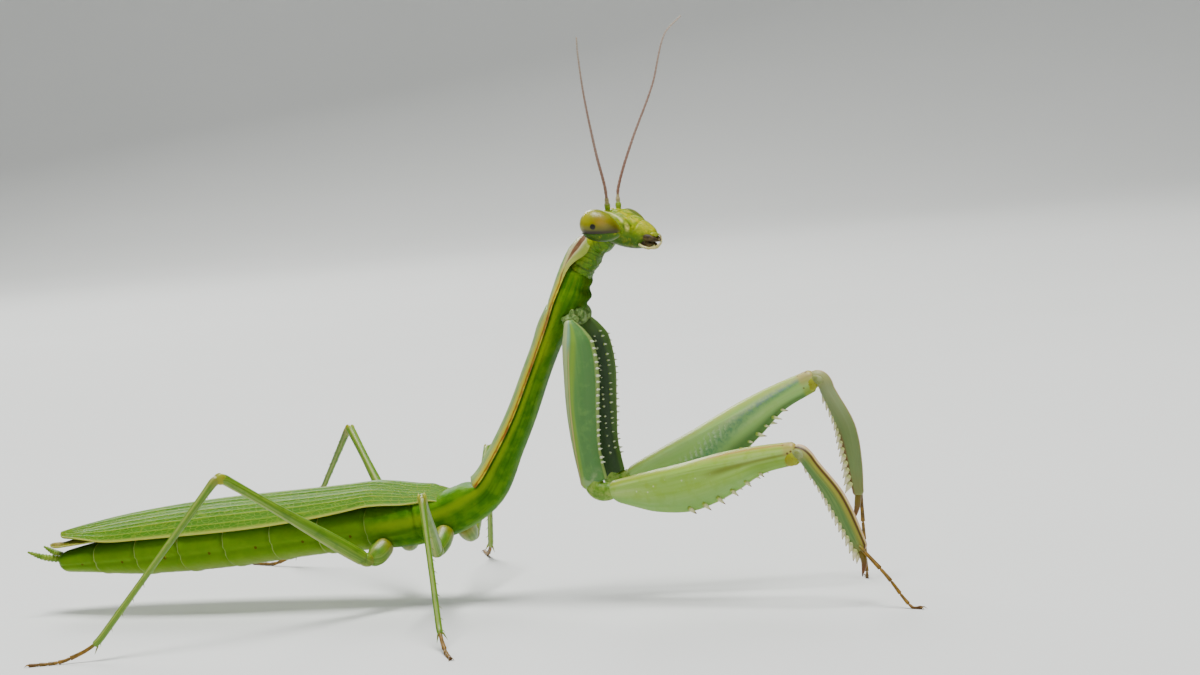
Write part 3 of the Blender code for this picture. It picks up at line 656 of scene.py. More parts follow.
def face_relief(z, y):
    """Heights on the front of the head, in millimetres, as a sum of bells and steps.

    The shield stands between the sockets with a sharp upper ridge; a ridge runs down each side of
    the face; grooves part the shield, the face plate and the lip; the crown swells by the eyes.
    """
    out = np.abs(y)
    shield = step(z, -1.05, -0.85) * step(z, -0.05, -0.2) * step(out, 0.82, 0.62)
    ridge = bump(z, -0.12 - 0.12 * out, 0.08) * step(out, 1.1, 0.8)
    cheek = bump(out, 1.02 - 0.14 * step(z, -1.9, -0.4), 0.1) * step(z, -2.3, -1.9) * step(z, 0.15, -0.05)
    plate = step(z, -1.95, -1.75) * step(z, -1.12, -1.28) * step(out, 1.0, 0.75)
    lip = step(z, -2.05, -2.15) * step(out, 0.75, 0.55)
    socket = np.hypot(z - SOCKET[1], out - SOCKET[0])
    crown = bump(out, 1.35, 0.28) * step(z, 0.35, 0.8)
    seams = (bump(out, 0.55, 0.05) + bump(out, 1.02, 0.05)) * step(z, 0.6, 0.85)
    return (0.07 * shield + 0.09 * ridge + 0.11 * cheek + 0.035 * plate + 0.05 * lip
            + 0.07 * bump(socket, 0.27, 0.07) + 0.09 * crown - 0.04 * seams
            - 0.05 * bump(z, -2.0, 0.06) * step(out, 1.0, 0.8)
            - 0.05 * bump(z, -1.1, 0.06) * step(out, 0.9, 0.7)
            - 0.05 * bump(out, 1.5, 0.25) * bump(z, -0.9, 0.6))


def side_relief(z, front):
    """Heights on the cheeks and the back: a jaw's hinge low down and a welt behind each eye."""
    jaw = bump(z, -2.35, 0.35) * bump(front, -0.1, 0.5)
    groove = bump(z, -1.75 + 0.25 * front, 0.08) * step(front, 0.7, 0.3)
    return 0.12 * jaw - 0.05 * groove


def head_capsule():
    heights = spread(CAPSULE[0][0], CAPSULE[-1][0], 90, (0.15, 0.25))
    half, thick, shift = columns(CAPSULE, heights)
    angles = turn_round(120)[None]
    u, v = oval(angles, 0.92)
    size = rounded(heights, (0.2, 0.45), (0.5, 0.2))[:, None]
    z = heights[:, None] + 0 * u
    y, x = u * half * size, v * thick * size + shift
    front = np.sin(angles)
    relief = face_relief(z, y) * step(front, 0.05, 0.4) + side_relief(z, front) * np.abs(np.cos(angles))
    pores = 0.006 * np.sin(31 * z + 3 * np.sin(23 * y)) * np.sin(37 * y + 2 * np.sin(19 * z))
    lift = (relief + pores) * size
    points = from_head(stacked(x + lift * front, y + lift * np.cos(angles), z))
    return tube(points, stacked(z, y, v))


print("the capsule is %.1f mm high and up to %.1f mm wide"
      % (CAPSULE[-1][0] - CAPSULE[0][0], 2 * max(sizes[0] for _, sizes in CAPSULE)))

# %% [markdown]
# ### The eyes and their rims
# An eye is a smooth egg that leans outwards at the crown, and a welt of skin holds it from behind.
# A ring laid over the egg would need a curve of its own. A second egg, a little larger and cut off
# along a bowed line, fits by itself.

# %% Build the capsule and the eyes
EYE_RADII = np.array((1.1, 0.98, 1.45))
SHELL_SIZE, RIM_SIZE = 0.99, 1.035  # of the eye's solid
EYE_LEAN = np.radians(12)


def egg(unit):
    """An eye narrows and lengthens towards the mouth: its cross-section is scaled by 1 plus 0.16 of
    its height, and its lower half is drawn out by 0.14."""
    wide = 1 + 0.16 * unit[..., 2:]
    return unit * np.concatenate([wide, wide, 1 + 0.14 * (unit[..., 2:] < 0)], -1)


def eye_turn(side):
    """The eye's long axis leans outwards at the crown."""
    c, s = np.cos(side * EYE_LEAN), np.sin(side * EYE_LEAN)
    return HEAD_TURN @ np.array([[1, 0, 0], [0, c, s], [0, -s, c]])


def eye_centre(side):
    return from_head((EYE_X, side * EYE_OUT, EYE_Z))


def eye_shell(side):
    """An egg in an eye's place; its place across counts outwards on both sides."""
    made = ball(eye_centre(side), EYE_RADII * SHELL_SIZE, eye_turn(side), 48, 72, egg)
    made.places = made.places * (1, side, 1)
    return made


def eye_rim(side):
    """The welt of skin that holds an eye from behind: the part of a slightly larger egg that lies
    behind a bowed line, swept from its back pole to that line and closed inside the eye. The angle
    from the pole to the line depends on the height there, so a few rounds of guessing settle it."""
    a = turn_round(72)[None]
    bound = np.full(a.shape, 2.0)
    for _ in range(6):
        z = np.sin(bound) * np.cos(a)
        bound = np.arccos(-(RIM_DEPTH - RIM_SLOPE * z + RIM_BOW * z * z))
    t = bound * np.linspace(0.02, 1, 30)[:, None]
    unit = np.stack([-np.cos(t), np.sin(t) * np.sin(a), np.sin(t) * np.cos(a)], -1)
    closing = unit[-1:] * np.array([0.95, 0.6, 0.05])[:, None, None]
    shape = egg(np.concatenate([unit, closing]))
    points = (shape * EYE_RADII * RIM_SIZE) @ eye_turn(side).T + eye_centre(side)
    # Painted as the head at this height, and darker towards its back, where painted shade lies under the
    # welt
    return tube(points, stacked(0.2, shape[..., 1] * side, shape[..., 0] - 0.2))


make("head_capsule", [head_capsule(), eye_rim(LEFT), eye_rim(RIGHT)], HEAD_SKIN, ["head"])
for word, side in SIDES.items():
    make("eye_shell_" + word, [eye_shell(side)], EYE_SHELL, ["eye_" + word])

# %% [markdown]
# ### Jointed tubes
# Palps, feelers and jaws are all tubes: a joint is a place where the tube narrows. Separate beads
# would show gaps where the tube bends, and a real joint has none.

# %% Jointed tubes
def beads(places, edges, depth, width):
    """Shares of full width that dip by the depth at each joint, over the given width."""
    gaps = np.abs(np.asarray(places)[:, None] - np.asarray(edges)[None, :]).min(1)
    return 1 - depth * np.exp(-((gaps / width) ** 2))


def pipe(line, places, radius, ring, hint=(0, 1, 0)):
    """A round tube of changing radius, whose place along is the share of the line's length."""
    u, v = oval(turn_round(ring)[None])
    size = radius[:, None]
    return sweep(line, places, hint, size * u, size * v, ring_places(places / line.length, u, v))


def round_tube(points, sizes, edges=(), depth=0.25, width=0.06, count=60, ring=14, hint=(0, 1, 0)):
    """A round limb along a smooth line; sizes are (share of its length, radius) knots, and the joints
    lie at the edges, in shares as well."""
    line = Line(points)
    places = spread(0.0, line.length, count, (0.12, 0.12))
    radius = smooth([(f * line.length, r) for f, r in sizes], places)[:, 0]
    radius = radius * rounded(places, (0.1, 0.12), (0.3, 0.1))
    if len(edges):
        radius = radius * beads(places, np.asarray(edges) * line.length, depth, width)
    return pipe(line, places, radius, ring, hint)


print("width at, beside and far from a joint:", beads((0.0, 0.05, 0.2), (0.0,), 0.25, 0.06).round(2))

# %% [markdown]
# ### Finishes of simple eyes and feelers
# A simple eye is a clear bead, so its gloss counts for more than its colour. A feeler's colour
# changes with the share of its length, in the same few steps on both feelers.

# %% Paint the simple eyes and the feelers
def glass_finish():
    """A pale clear bead with clouds of tan in it."""
    glass = Finish("bead_glass", coat_weight=0.8, coat_roughness=0.08)
    cloud = glass.noise(6, 2).rise(0.4, 0.7)
    return glass.done(glass.mix((206, 196, 120), TAN, cloud * 0.5), 0.15)


def feeler_finish():
    """Pale green and buff at the base, then red-brown, then pale grey, ringed at every joint."""
    feeler = Finish("feeler_skin")
    along = feeler.axes[0]
    ring = (along * 420).sine().rise(0.2, 0.9)
    base = feeler.layers((156, 180, 90), ((184, 172, 134), along.rise(0.034, 0.045)),
                         ((148, 116, 102), along.rise(0.07, 0.08)),
                         ((166, 142, 130), along.rise(0.16, 0.42)),
                         ((196, 182, 168), along.rise(0.6, 1.0)), (BARK, ring * 0.3))
    return feeler.done(base, 0.5, ring, 0.01)


BEAD_GLASS, FEELER_SKIN = glass_finish(), feeler_finish()
print("materials so far:", len(bpy.data.materials))

# %% [markdown]
# ### Simple eyes, jaws, palps and feelers
# Between the feelers sit three glassy simple eyes. The jaws close under a rounded upper lip, and
# jointed palps curl round them. A feeler has a thick first joint in a socket, a short second one,
# and then more than a hundred tiny rings.

# %% Places of the small parts of the head
# A feeler's line from its socket on, in the animal's frame
FEELER = {
    LEFT: ((13.25, 1.15, 29.9), (14.3, 1.75, 33.0), (16.05, 2.5, 37.1), (17.0, 3.3, 40.6),
           (18.1, 4.2, 41.9)),
    RIGHT: ((13.1, -1.3, 30.1), (12.9, -2.0, 32.6), (12.7, -2.9, 36.6), (12.75, -3.6, 39.6),
            (12.9, -4.0, 41.0)),
}
# Distance along a feeler: radius. The thick first joint ends at 0.56 and the second at 0.98
FEELER_RADII = ((0, 0.17), (0.25, 0.21), (0.5, 0.2), (0.56, 0.13), (0.62, 0.155), (0.9, 0.15),
                (0.98, 0.105), (1.3, 0.115), (5, 0.1))
THREAD_START, THREAD_TIP, THREAD_RING = 1.2, 0.055, 0.36
# Simple eyes and palps in head axes; a palp's side counts outwards
OCELLI = ((0.97, 0.0, 0.62), (0.88, 0.3, 0.88), (0.88, -0.3, 0.88))
PALP = {
    RIGHT: ((-0.62, 0.7, -2.55), (-0.64, 0.92, -3.17), (-0.48, 0.88, -3.75), (-0.25, 0.75, -4.02),
            (0.04, 0.6, -4.13)),
    LEFT: ((-0.7, 0.8, -2.6), (-0.42, 0.9, -3.38), (0.0, 0.75, -3.47), (0.33, 0.55, -3.35),
           (0.42, 0.45, -3.22)),
}
LIP_PALP = ((-0.62, 0.3, -2.7), (-0.72, 0.42, -3.2), (-0.55, 0.42, -3.5), (-0.3, 0.36, -3.62))
print("feelers:", {word: round(Line(FEELER[side]).length, 1) for word, side in SIDES.items()}, "mm")

# %% [markdown]
# ### One tube for each
# The rings of a feeler are too fine to be pieces of their own, and so are the joints of a palp: each
# is one tube. The upper lip is a ball cut square below, because a flat flap would show no thickness
# from the side.

# %% Build the small parts of the head
def feeler(side):
    """Scape, pedicel and thread: the radius falls in two steps, then slowly to the tip."""
    root = from_head((0.92, side * SOCKET[0], SOCKET[1]))
    line = Line([root, *FEELER[side]])
    places = np.concatenate([spread(0, THREAD_START - 0.05, 24, (0.05, 0.05)),
                             np.linspace(THREAD_START, line.length - 0.1, 420),
                             [line.length - 0.03, line.length]])
    radius = smooth((*FEELER_RADII, (line.length, THREAD_TIP)), places)[:, 0]
    rings = np.arange(THREAD_START, line.length - 0.05, THREAD_RING)
    radius = radius * beads(places, rings, 0.16, 0.05)
    radius[-2:] *= (0.8, 0.25)
    return pipe(line, places, radius, 12)


def mirrored(points, side):
    """Points in head axes whose y counts outwards, in the animal's frame."""
    return from_head([(x, side * y, z) for x, y, z in points])


def lip_shape(unit):
    """A flap: its lower half is cut square, and a shallow notch parts its free edge."""
    out, down = np.abs(unit[..., 1:2]), np.clip(-unit[..., 2:], 0, 1)
    return unit * np.concatenate([1 + 0 * out, 1 + 0.25 * down, 1 - 0.22 * down * bump(out, 0, 0.18)], -1)


def jaws():
    """Two pointed jaws that meet in the middle, a lobe beside each, and the chin behind them."""
    jaw = ((-0.02, 0.42, -2.3), (0.02, 0.46, -2.95), (0.04, 0.34, -3.42), (0.02, 0.04, -3.72))
    lobe = ((-0.35, 0.38, -2.4), (-0.42, 0.38, -3.1), (-0.34, 0.22, -3.5))
    ahead = HEAD_TURN[:, 0]
    shapes = []
    for side in SIDES.values():
        shapes += [round_tube(mirrored(jaw, side), ((0, 0.26), (0.5, 0.27), (1, 0.06)),
                              count=30, ring=18, hint=ahead),
                   round_tube(mirrored(lobe, side), ((0, 0.3), (0.6, 0.24), (1, 0.08)),
                              (0.45,), 0.2, count=26, hint=ahead)]
    chin = ball(from_head((-0.5, 0, -3.0)), (0.22, 0.42, 0.5), HEAD_TURN, 20, 28)
    return [*shapes, chin]


make("simple_eyes", [ball(from_head(p), (0.1, 0.13, 0.13), HEAD_TURN, 10, 14) for p in OCELLI],
     BEAD_GLASS)
make("jaws", jaws(), JAW_SKIN, ["mouthparts"])
make("upper_lip", [ball(from_head((0.34, 0, -3.02)), (0.22, 0.5, 0.44), HEAD_TURN, 24, 32, lip_shape)],
     plain_skin("lip_skin", (196, 200, 60), (150, 166, 30), (120, 126, 20)))
for word, side in SIDES.items():
    palps = [round_tube(mirrored(PALP[side], side), ((0, 0.11), (0.5, 0.085), (1, 0.07)),
                        (0.12, 0.25, 0.5, 0.76), 0.3, 0.05, 50, 12),
             round_tube(mirrored(LIP_PALP, side), ((0, 0.1), (1, 0.075)), (0.3, 0.62), 0.3, 0.05, 36, 12)]
    make("palps_" + word, palps, PALP_SKIN, ["palp_" + word])
    make("feeler_" + word, [feeler(side)], FEELER_SKIN, ["antenna_" + word])

# %% [markdown]
# ## Trunk
# The trunk is one smooth line from the front of the pronotum to the tail, and everything on it is
# measured by the distance along that line. One closed skin runs from the neck's foot to the tail,
# so no seam shows between the rings of the body; the folds between them are dips in its profile.
# The pronotum is a separate plate of shell that lies over the front like a long roof tile.

# %% The line and sizes of the trunk
BODY = Line([(x, 0.0, z) for x, z in (
    (10.78, 26.1), (9.58, 24.12), (8.63, 22.0), (6.11, 17.02), (4.44, 13.7), (2.64, 10.8), (1.1, 8.8),
    (-1.2, 7.4), (-4.0, 6.7), (-8.0, 6.25), (-14.0, 5.85), (-22.0, 5.3), (-30.0, 4.6), (-34.6, 4.1))])
# Distance from the front: half width, height above and depth below the line
BODY_SIZE = ((0, (1.15, 1.0, 1.25)), (1.5, (1.35, 1.0, 1.3)), (3.2, (1.75, 1.0, 1.8)),
             (4.6, (2.1, 1.0, 1.7)), (6.8, (1.7, 1.0, 1.05)), (10, (1.45, 1.0, 0.98)),
             (16, (1.5, 1.0, 1.3)), (18, (1.6, 1.0, 1.6)), (20, (1.7, 1.0, 1.9)), (22.6, (2.1, 1.3, 2.05)),
             (25.5, (2.55, 1.6, 2.15)), (29, (2.6, 1.55, 2.0)), (33, (2.75, 1.5, 1.9)),
             (42, (3.15, 1.55, 2.15)), (49, (2.75, 1.35, 1.85)), (53.5, (1.9, 1.0, 1.2)),
             (57, (0.9, 0.6, 0.7)))
PRONOTUM_END, MESOTHORAX_END, METATHORAX_END = 20.3, 25.2, 29.2
ABDOMEN_RINGS = 7
RING_LENGTH = (BODY.length - METATHORAX_END) / ABDOMEN_RINGS


def on_body(distance, across, up):
    """Points square to the trunk's line: across to the left, and up from the line."""
    along = BODY.along(distance)
    rise = np.cross((0.0, 1.0, 0.0), along)
    return (BODY.at(distance)[:, None] + up[..., None] * rise[:, None]
            + across[..., None] * np.array((0.0, 1.0, 0.0)))


def roof(u):
    """Height of the pronotum's top: 1 at the ridge, less 0.85 times the share of the width to the
    power of one and a half."""
    return 1.0 - 0.85 * np.abs(u) ** 1.5


print("trunk %.1f mm long, abdomen rings %.2f mm" % (BODY.length, RING_LENGTH))

# %% [markdown]
# ### Finishes of the trunk
# Each reads the place on its piece: the distance along the trunk, the share across and the share up.
# That is how the brown line can follow the pronotum's margin, and how each ring of the abdomen gets
# its own pale hind edge and its breathing hole.

# %% Paint the trunk
def trunk_finish():
    """Dark to yellow-green sides, with a painted highlight on the bulge beside the forelegs' roots and
    painted shade under the throat; paler under the belly, with a light fold and a breathing hole on every
    ring."""
    skin = Finish("trunk_skin", soft=0.15, deep=0.6, specular=0.05)
    along, _, up = skin.axes
    cloud = skin.noise(0.9, 4)
    fine = skin.noise(5.0, 3)
    tail = along.rise(27.0, 31.0)
    phase = ((along - METATHORAX_END) / RING_LENGTH).fraction()
    edge = phase.band(1.0, 0.07) * tail
    hole = phase.band(0.32, 0.06) * (up + 0.3).band(0.0, 0.12) * tail
    streak = skin.streaks(0.25, 4.0, 7.0, 3)
    neck_end = along.rise(4.8, 3.4)
    throat = up.rise(-0.6, -0.95) * along.rise(4.8, 4.0)
    base = skin.layers(
        (78, 120, 8), ((120, 156, 18), cloud.rise(0.4, 0.65) * 0.6),
        ((40, 72, 4), streak.rise(0.48, 0.7) * (1 - tail) * 0.35),
        ((150, 174, 24), (up + 0.05).band(0.0, 0.35) * (1 - tail) * along.rise(3.6, 5.0) * 0.75),
        # Painted highlight on the bulge beside the forelegs' roots
        ((158, 180, 30), along.band(8.0, 2.6) * up.rise(-0.85, -0.25) * 0.6),
        ((120, 152, 70), tail * 0.7), ((86, 126, 48), tail * up.rise(0.1, 0.6) * 0.8),
        ((168, 186, 118), tail * up.rise(-0.5, -0.95) * 0.7),
        ((150, 168, 60), neck_end * streak.rise(0.55, 0.4) * 0.25),
        # Painted shade under the throat
        ((26, 46, 2), throat * 0.6),
        ((190, 204, 140), edge * 0.8), (BARK, hole.rise(0.3, 0.7) * 0.8))
    relief = skin.grains(6).rise(0.1, 0.5) * 0.4 + fine * 0.4 + streak * 0.4
    return skin.done(base, 0.4 + fine * 0.15 + throat * 0.4, relief, 0.02)


def pronotum_finish():
    """Pale blue-green shell. A brown band between two cream ones follows each margin; in front it is
    broad and lies inside the margin, and further back it is a fine line along the very edge."""
    shell = Finish("pronotum_shell", soft=0.1, deep=0.4, coat_weight=0.15)
    along, across, up = shell.axes
    out = abs(across)
    cloud, waver = shell.noise(1.2, 4), shell.noise(0.9, 2) * 0.04
    back = along.rise(0.6, 3.4)
    gap = abs(out + waver - back * 0.26 - 0.73) / (0.1 - back * 0.065)
    brown = shell.mix((120, 86, 66), (150, 100, 34), along.rise(1.5, 4.0))
    base = shell.layers(
        (132, 166, 102), ((168, 188, 128), cloud.rise(0.4, 0.65) * 0.7),
        ((176, 190, 128), out.band(0.0, 0.12) * 0.5),
        ((204, 200, 118), out.rise(0.55, 0.72) * back * 0.8),
        (shell.mix((214, 208, 170), (206, 198, 84), back), gap.rise(5.0, 2.6) * 0.9),
        (brown, gap.rise(1.0, 0.7) * (0.75 + cloud.rise(0.3, 0.6) * 0.25)),
        ((146, 164, 44), out.rise(0.82, 0.94) * (1 - back) * 0.85),
        ((166, 178, 90), up.rise(-0.2, -0.6) * 0.8))
    relief = shell.grains(5).rise(0.05, 0.4) * 0.6 + shell.noise(7, 2) * 0.4
    return shell.done(base, 0.38 + cloud * 0.1, relief, 0.02)


TRUNK_SKIN, PRONOTUM_SHELL = trunk_finish(), pronotum_finish()
MEMBRANE = plain_skin("joint_membrane", (150, 174, 116), (80, 112, 36), (50, 76, 18), 3.6, 0.45,
                      0.07)
print("materials so far:", len(bpy.data.materials))

# %% [markdown]
# ### The trunk's skin
# From the forelegs' roots back, the skin is a long bag with a fold behind every ring. Under the
# pronotum it stays low and narrow, so that it never comes through the shell; behind it, it's free
# and takes the trunk's full size.

# %% Build the trunk's skin
RINGS = [MESOTHORAX_END] + [METATHORAX_END + RING_LENGTH * k for k in range(ABDOMEN_RINGS)]


def trunk_skin():
    """An oval of changing size along the trunk's line; every fold is a narrow dip of its radius with
    a low swelling in front of it."""
    d = np.concatenate([spread(1.9, 20.0, 150, (0.5, 0.1)),
                        spread(20.05, BODY.length + 0.1, 330, (0.1, 0.5))])
    along = d[:, None]
    half, above, below = columns(BODY_SIZE, d)
    angles = turn_round(96)[None]
    u, v = oval(angles, 0.87)
    # Under the pronotum the skin is low and narrow; behind it, it's free
    free = step(along, 19.6, 21.4)
    wide = half * (0.92 + 0.08 * free)
    high = 0.3 * (1 - free) + above * free
    middle = -0.22 * (1 - free)
    gap = along - np.array(RINGS)[None]
    fold = (0.035 * bump(gap, -0.4, 0.35) - 0.075 * bump(gap, 0.06, 0.13)).sum(1)[:, None]
    tail = step(along, 28.0, 31.0)
    pleat = -0.05 * bump(v, -0.3, 0.1) * tail + 0.02 * bump(v, -0.12, 0.08) * tail
    seam = -0.05 * bump(v, -0.35, 0.07) * (1 - tail) * step(along, 4, 6)
    stripes = 0.014 * np.sin(26 * angles) * bump(along, 2.9, 1.0) * step(v, 0.3, -0.2)
    throat = 0.03 * bump(along, 3.65, 0.2) - 0.15 * bump(along, 3.1, 0.35) - 0.06 * bump(along, 4.2, 0.2)
    grain = 0.006 * np.sin(9 * along + 5 * np.sin(7 * angles)) * np.sin(23 * angles)
    size = 1 + fold + pleat + seam + stripes + throat * step(v, -0.2, -0.9) + grain
    size = size * rounded(d, (0.35, 0.9), (0.7, 0.2))[:, None]
    up = middle + np.where(v > 0, v * (high - middle), v * (below + middle)) * size
    across = wide * u * size
    return tube(on_body(d, across, up), ring_places(d, u, v))


make("trunk_skin", [trunk_skin()], TRUNK_SKIN,
     ["prothorax", "mesothorax", "metathorax"] + ["abdomen_%d" % (k + 1) for k in range(ABDOMEN_RINGS)])

# %% [markdown]
# ### The neck
# The neck is soft: it folds like a bellows, deepest under the throat. A bellows modelled fold by
# fold would be stiff; sines that run into one another give folds that start and stop.

# %% Build the neck
NECK_FOLD = 1.45            # distance up the neck of its one deep fold


def neck():
    """A bellows: faint waves along its line, one deep fold, and a swelling of the throat above it."""
    below_line = np.array((-0.45, -0.5, -0.55, -0.62))[:, None]
    low = on_body(np.array((3.0, 2.15, 1.0, -0.3)), 0 * below_line, below_line)[:, 0]
    line = Line([*low, from_head((-1.28, 0, 0.5)), from_head((-0.6, 0, 0.35))])
    places = np.linspace(0, line.length, 150)
    sizes = ((0, (0.85, 0.6, 0.85)), (0.85, (1.05, 0.68, 0.98)), (2.0, (1.02, 0.74, 1.02)),
             (3.3, (0.96, 0.8, 1.02)), (4.3, (0.92, 0.9, 0.8)), (line.length, (0.8, 0.7, 0.6)))
    half, above, below = columns(sizes, places)
    angles = turn_round(80)[None]
    u, v = oval(angles, 0.95)
    throat = step(v, 0.1, -0.7)
    along = places[:, None] + 0.14 * np.sin(3 * angles) + 0.1 * np.sin(7 * angles + 2)
    folds = 0.03 * np.sin(2 * np.pi * along / 0.36) * np.sin(2 * np.pi * along / 1.9 + 1) * throat
    pleats = 0.01 * np.sin(22 * angles + 2 * np.sin(5 * along)) * step(along, 2.2, 1.2)
    big = 0.07 * bump(along, NECK_FOLD + 0.75, 0.35) * throat - 0.055 * bump(along, NECK_FOLD, 0.13)
    size = 1 + folds + pleats + big
    up = np.where(v > 0, v * above, v * below) * size
    return sweep(line, places, (0, 1, 0), half * u * size, up, ring_places(places, u, v))


def neck_finish():
    """Yellow-green and softly mottled, with painted shade under the throat, in the deep fold and in the
    wrinkles.
    """
    skin = Finish("neck_skin", soft=0.2, deep=0.6, specular=0.2)
    along, _, up = skin.axes
    cloud, fine = skin.noise(1.8, 3), skin.noise(5.0, 2)
    wrinkle_shade = (along * 17 + cloud * 6).sine().rise(-0.5, -0.95) * along.rise(1.5, 2.0)
    base = skin.layers((106, 140, 10), ((174, 184, 20), up.rise(-0.5, 0.4) * 0.85),
                       ((86, 122, 6), cloud.rise(0.45, 0.65) * 0.7),
                       # Painted shade under the throat, in the deep fold and in the wrinkles
                       ((52, 84, 4), up.rise(-0.45, -0.95) * 0.6),
                       ((52, 76, 4), (along - NECK_FOLD).band(0.0, 0.14) * 0.7),
                       ((50, 76, 2), wrinkle_shade * up.rise(0.5, 0.0) * 0.5),
                       ((166, 176, 60), fine.rise(0.55, 0.7) * 0.35))
    return skin.done(base, 0.42, cloud * 0.4 + fine * 0.8, 0.03)


make("neck_skin", [neck()], neck_finish(), ["neck"])

# %% [markdown]
# ### The pronotum and the tail feelers
# The pronotum rises to a keel along the middle, swells over the forelegs' roots, where a groove
# crosses it, and ends in finely toothed margins. The two tail feelers are short tapering tubes of
# ten rings.

# %% Build the pronotum and the tail feelers
def pronotum():
    """A roof tile: the top follows the roof's curve and the underside lies a plate's depth below.

    On the top stand the keel, a groove across over the widest place with a low hump behind it, a rim
    along each margin and a row of fine teeth that push the margin out. In front each side hangs down
    round the neck, by the share of the width to the fourth power, and reaches forward in a lobe, a
    bell of that share.
    """
    d = spread(-0.15, PRONOTUM_END, 260, (0.6, 0.9))
    along = d[:, None]
    half = smooth(BODY_SIZE, d)[:, :1] * rounded(d, (0.8, 0.9), (0.6, 0.55))[:, None]
    u, v = oval(turn_round(128)[None], 0.85)
    v = np.sign(v) * np.abs(v) ** 0.5
    out = np.abs(u)
    depth = 0.42 * (1 - u * u) + 0.26 * u * u
    front = step(along, 4.0, 1.0)
    collar = step(along, 2.2, 0.1)
    droop = 0.3 * (1 - step(along, -0.4, 1.6)) ** 2 + 0.62 * bump(along, 0.55, 0.8) * u**4
    relief = (0.07 * bump(u, 0, 0.05) * (1 - front) - 0.06 * bump(u, 0, 0.06) * front
              - 0.13 * bump(along, 5.1 + 0.5 * out, 0.2) * step(out, 0.85, 0.6)
              + 0.14 * bump(along, 6.9, 1.2) * (1 - u * u)
              + 0.05 * bump(out, 0.88, 0.05) - 0.035 * bump(out, 0.78, 0.05)
              + 0.012 * np.sin(9 * along + 4 * np.sin(6 * u)) * np.sin(14 * u))
    teeth = 0.035 * np.clip(np.sin(2 * np.pi * along / 0.42), 0, 1) * step(out, 0.93, 1.0)
    across = u * (half + teeth * (1 - collar))
    up = roof(u) - droop - depth * (1 - v) / 2 + relief * step(v, 0.0, 0.5)
    lobe = 0.6 * bump(out, 0.72, 0.3) * collar
    points = on_body(d, across, up) - lobe[..., None] * BODY.along(d)[:, None]
    return tube(points, ring_places(d, u, v))


make("pronotum_shell", [pronotum()], PRONOTUM_SHELL, ["pronotum"])
for word, side in SIDES.items():
    tail = ((-34.4, side * 0.42, 4.3), (-35.7, side * 0.95, 4.6), (-36.9, side * 1.3, 5.1))
    make("tail_feeler_" + word,
         [round_tube(tail, ((0, 0.26), (0.3, 0.29), (0.7, 0.22), (1, 0.08)),
                     np.arange(0.12, 0.95, 0.1), 0.22, 0.07, 90, 18)],
         plain_skin("tail_feeler_" + word, (140, 162, 84), (104, 134, 56), (86, 70, 40)),
         ["cercus_" + word])

# %% [markdown]
# ## The grasping forelegs
# A foreleg is a long coxa hanging from the body, a small trochanter, a deep femur with two rows of
# spines, a tibia that folds against it like the blade of a pocket knife, a hooked claw, and a thin
# foot that springs from the tibia's end. All share one smooth line through the joints. A section
# is an oval with keels: each keel is a bell of the angle round the ring, so it runs on as a
# straight ridge down the whole limb.

# %% Joints and sizes of the forelegs
FORELEG = {
    "right": ((9.75, -1.95, 20.6), (10.6, -2.05, 8.1), (27.25, -4.8, 10.85), (31.15, -5.35, 3.8)),
    "left": ((9.5, 1.8, 20.7), (10.65, 1.8, 8.15), (26.5, 4.2, 15.15), (28.45, 4.4, 6.25)),
}
TIBIA_BOW = {"right": (0.3, 0.0, 0.15), "left": (0.55, 0.0, 0.33)}
FORE_TOE = {"right": (34.9, -7.3, 0.0), "left": (28.35, 5.35, 0.0)}
# The trochanter runs from before the elbow to past it; a joint's gap lies before each part's start
BEFORE_ELBOW, PAST_ELBOW, JOINT_GAP = 1.0, 1.1, 0.13
# Distance from the part's start: half width, height above and depth below the limb's line
COXA_SIZE = ((0, (0.42, 0.42, 0.35)), (0.7, (0.62, 1.08, 0.45)), (1.6, (0.8, 1.6, 0.58)),
             (4, (0.82, 1.78, 0.68)), (7, (0.76, 1.4, 0.84)), (9.5, (0.7, 1.0, 0.94)),
             (11.4, (0.62, 1.0, 0.95)), (12.4, (0.6, 1.1, 1.0)))
TROCHANTER_SIZE = ((0, (0.58, 0.72, 0.75)), (1, (0.6, 0.62, 0.75)), (2.1, (0.5, 0.55, 0.7)))
FEMUR_SIZE = ((0, (0.5, 0.58, 0.85)), (1.2, (0.6, 0.64, 1.4)), (3.2, (0.75, 0.7, 2.25)),
              (5.8, (0.8, 0.74, 2.75)), (7.8, (0.75, 0.85, 2.55)), (10, (0.68, 0.95, 1.9)),
              (12.3, (0.58, 0.94, 1.05)), (15, (0.5, 0.8, 0.8)))
TIBIA_SIZE = ((-0.8, (0.4, 0.66, 0.3)), (-0.2, (0.44, 0.7, 0.4)), (0.5, (0.45, 0.6, 0.45)),
              (1.5, (0.46, 0.6, 0.5)), (4, (0.45, 0.66, 0.7)), (7.0, (0.38, 0.55, 0.5)),
              (8.4, (0.3, 0.42, 0.4)))
KEEL_UP, KEEL_DOWN = np.pi / 2, 3 * np.pi / 2
FORELEG_BEND = 1.1          # how far from a joint its corner starts
SOLE = 0.13                 # height of a foot's line over the floor
SPINE_ROOT = 0.15           # depth of a spine's root inside its limb


print("foreleg parts:", {w: round(jointed(p, FORELEG_BEND)[0].length, 1) for w, p in FORELEG.items()}, "mm")

# %% [markdown]
# ### Limbs and spines
# All legs and all their spines come from the two functions here, so a walking leg differs from a
# foreleg only in its numbers. A spine is a bent cone: a straight one looks like a nail.

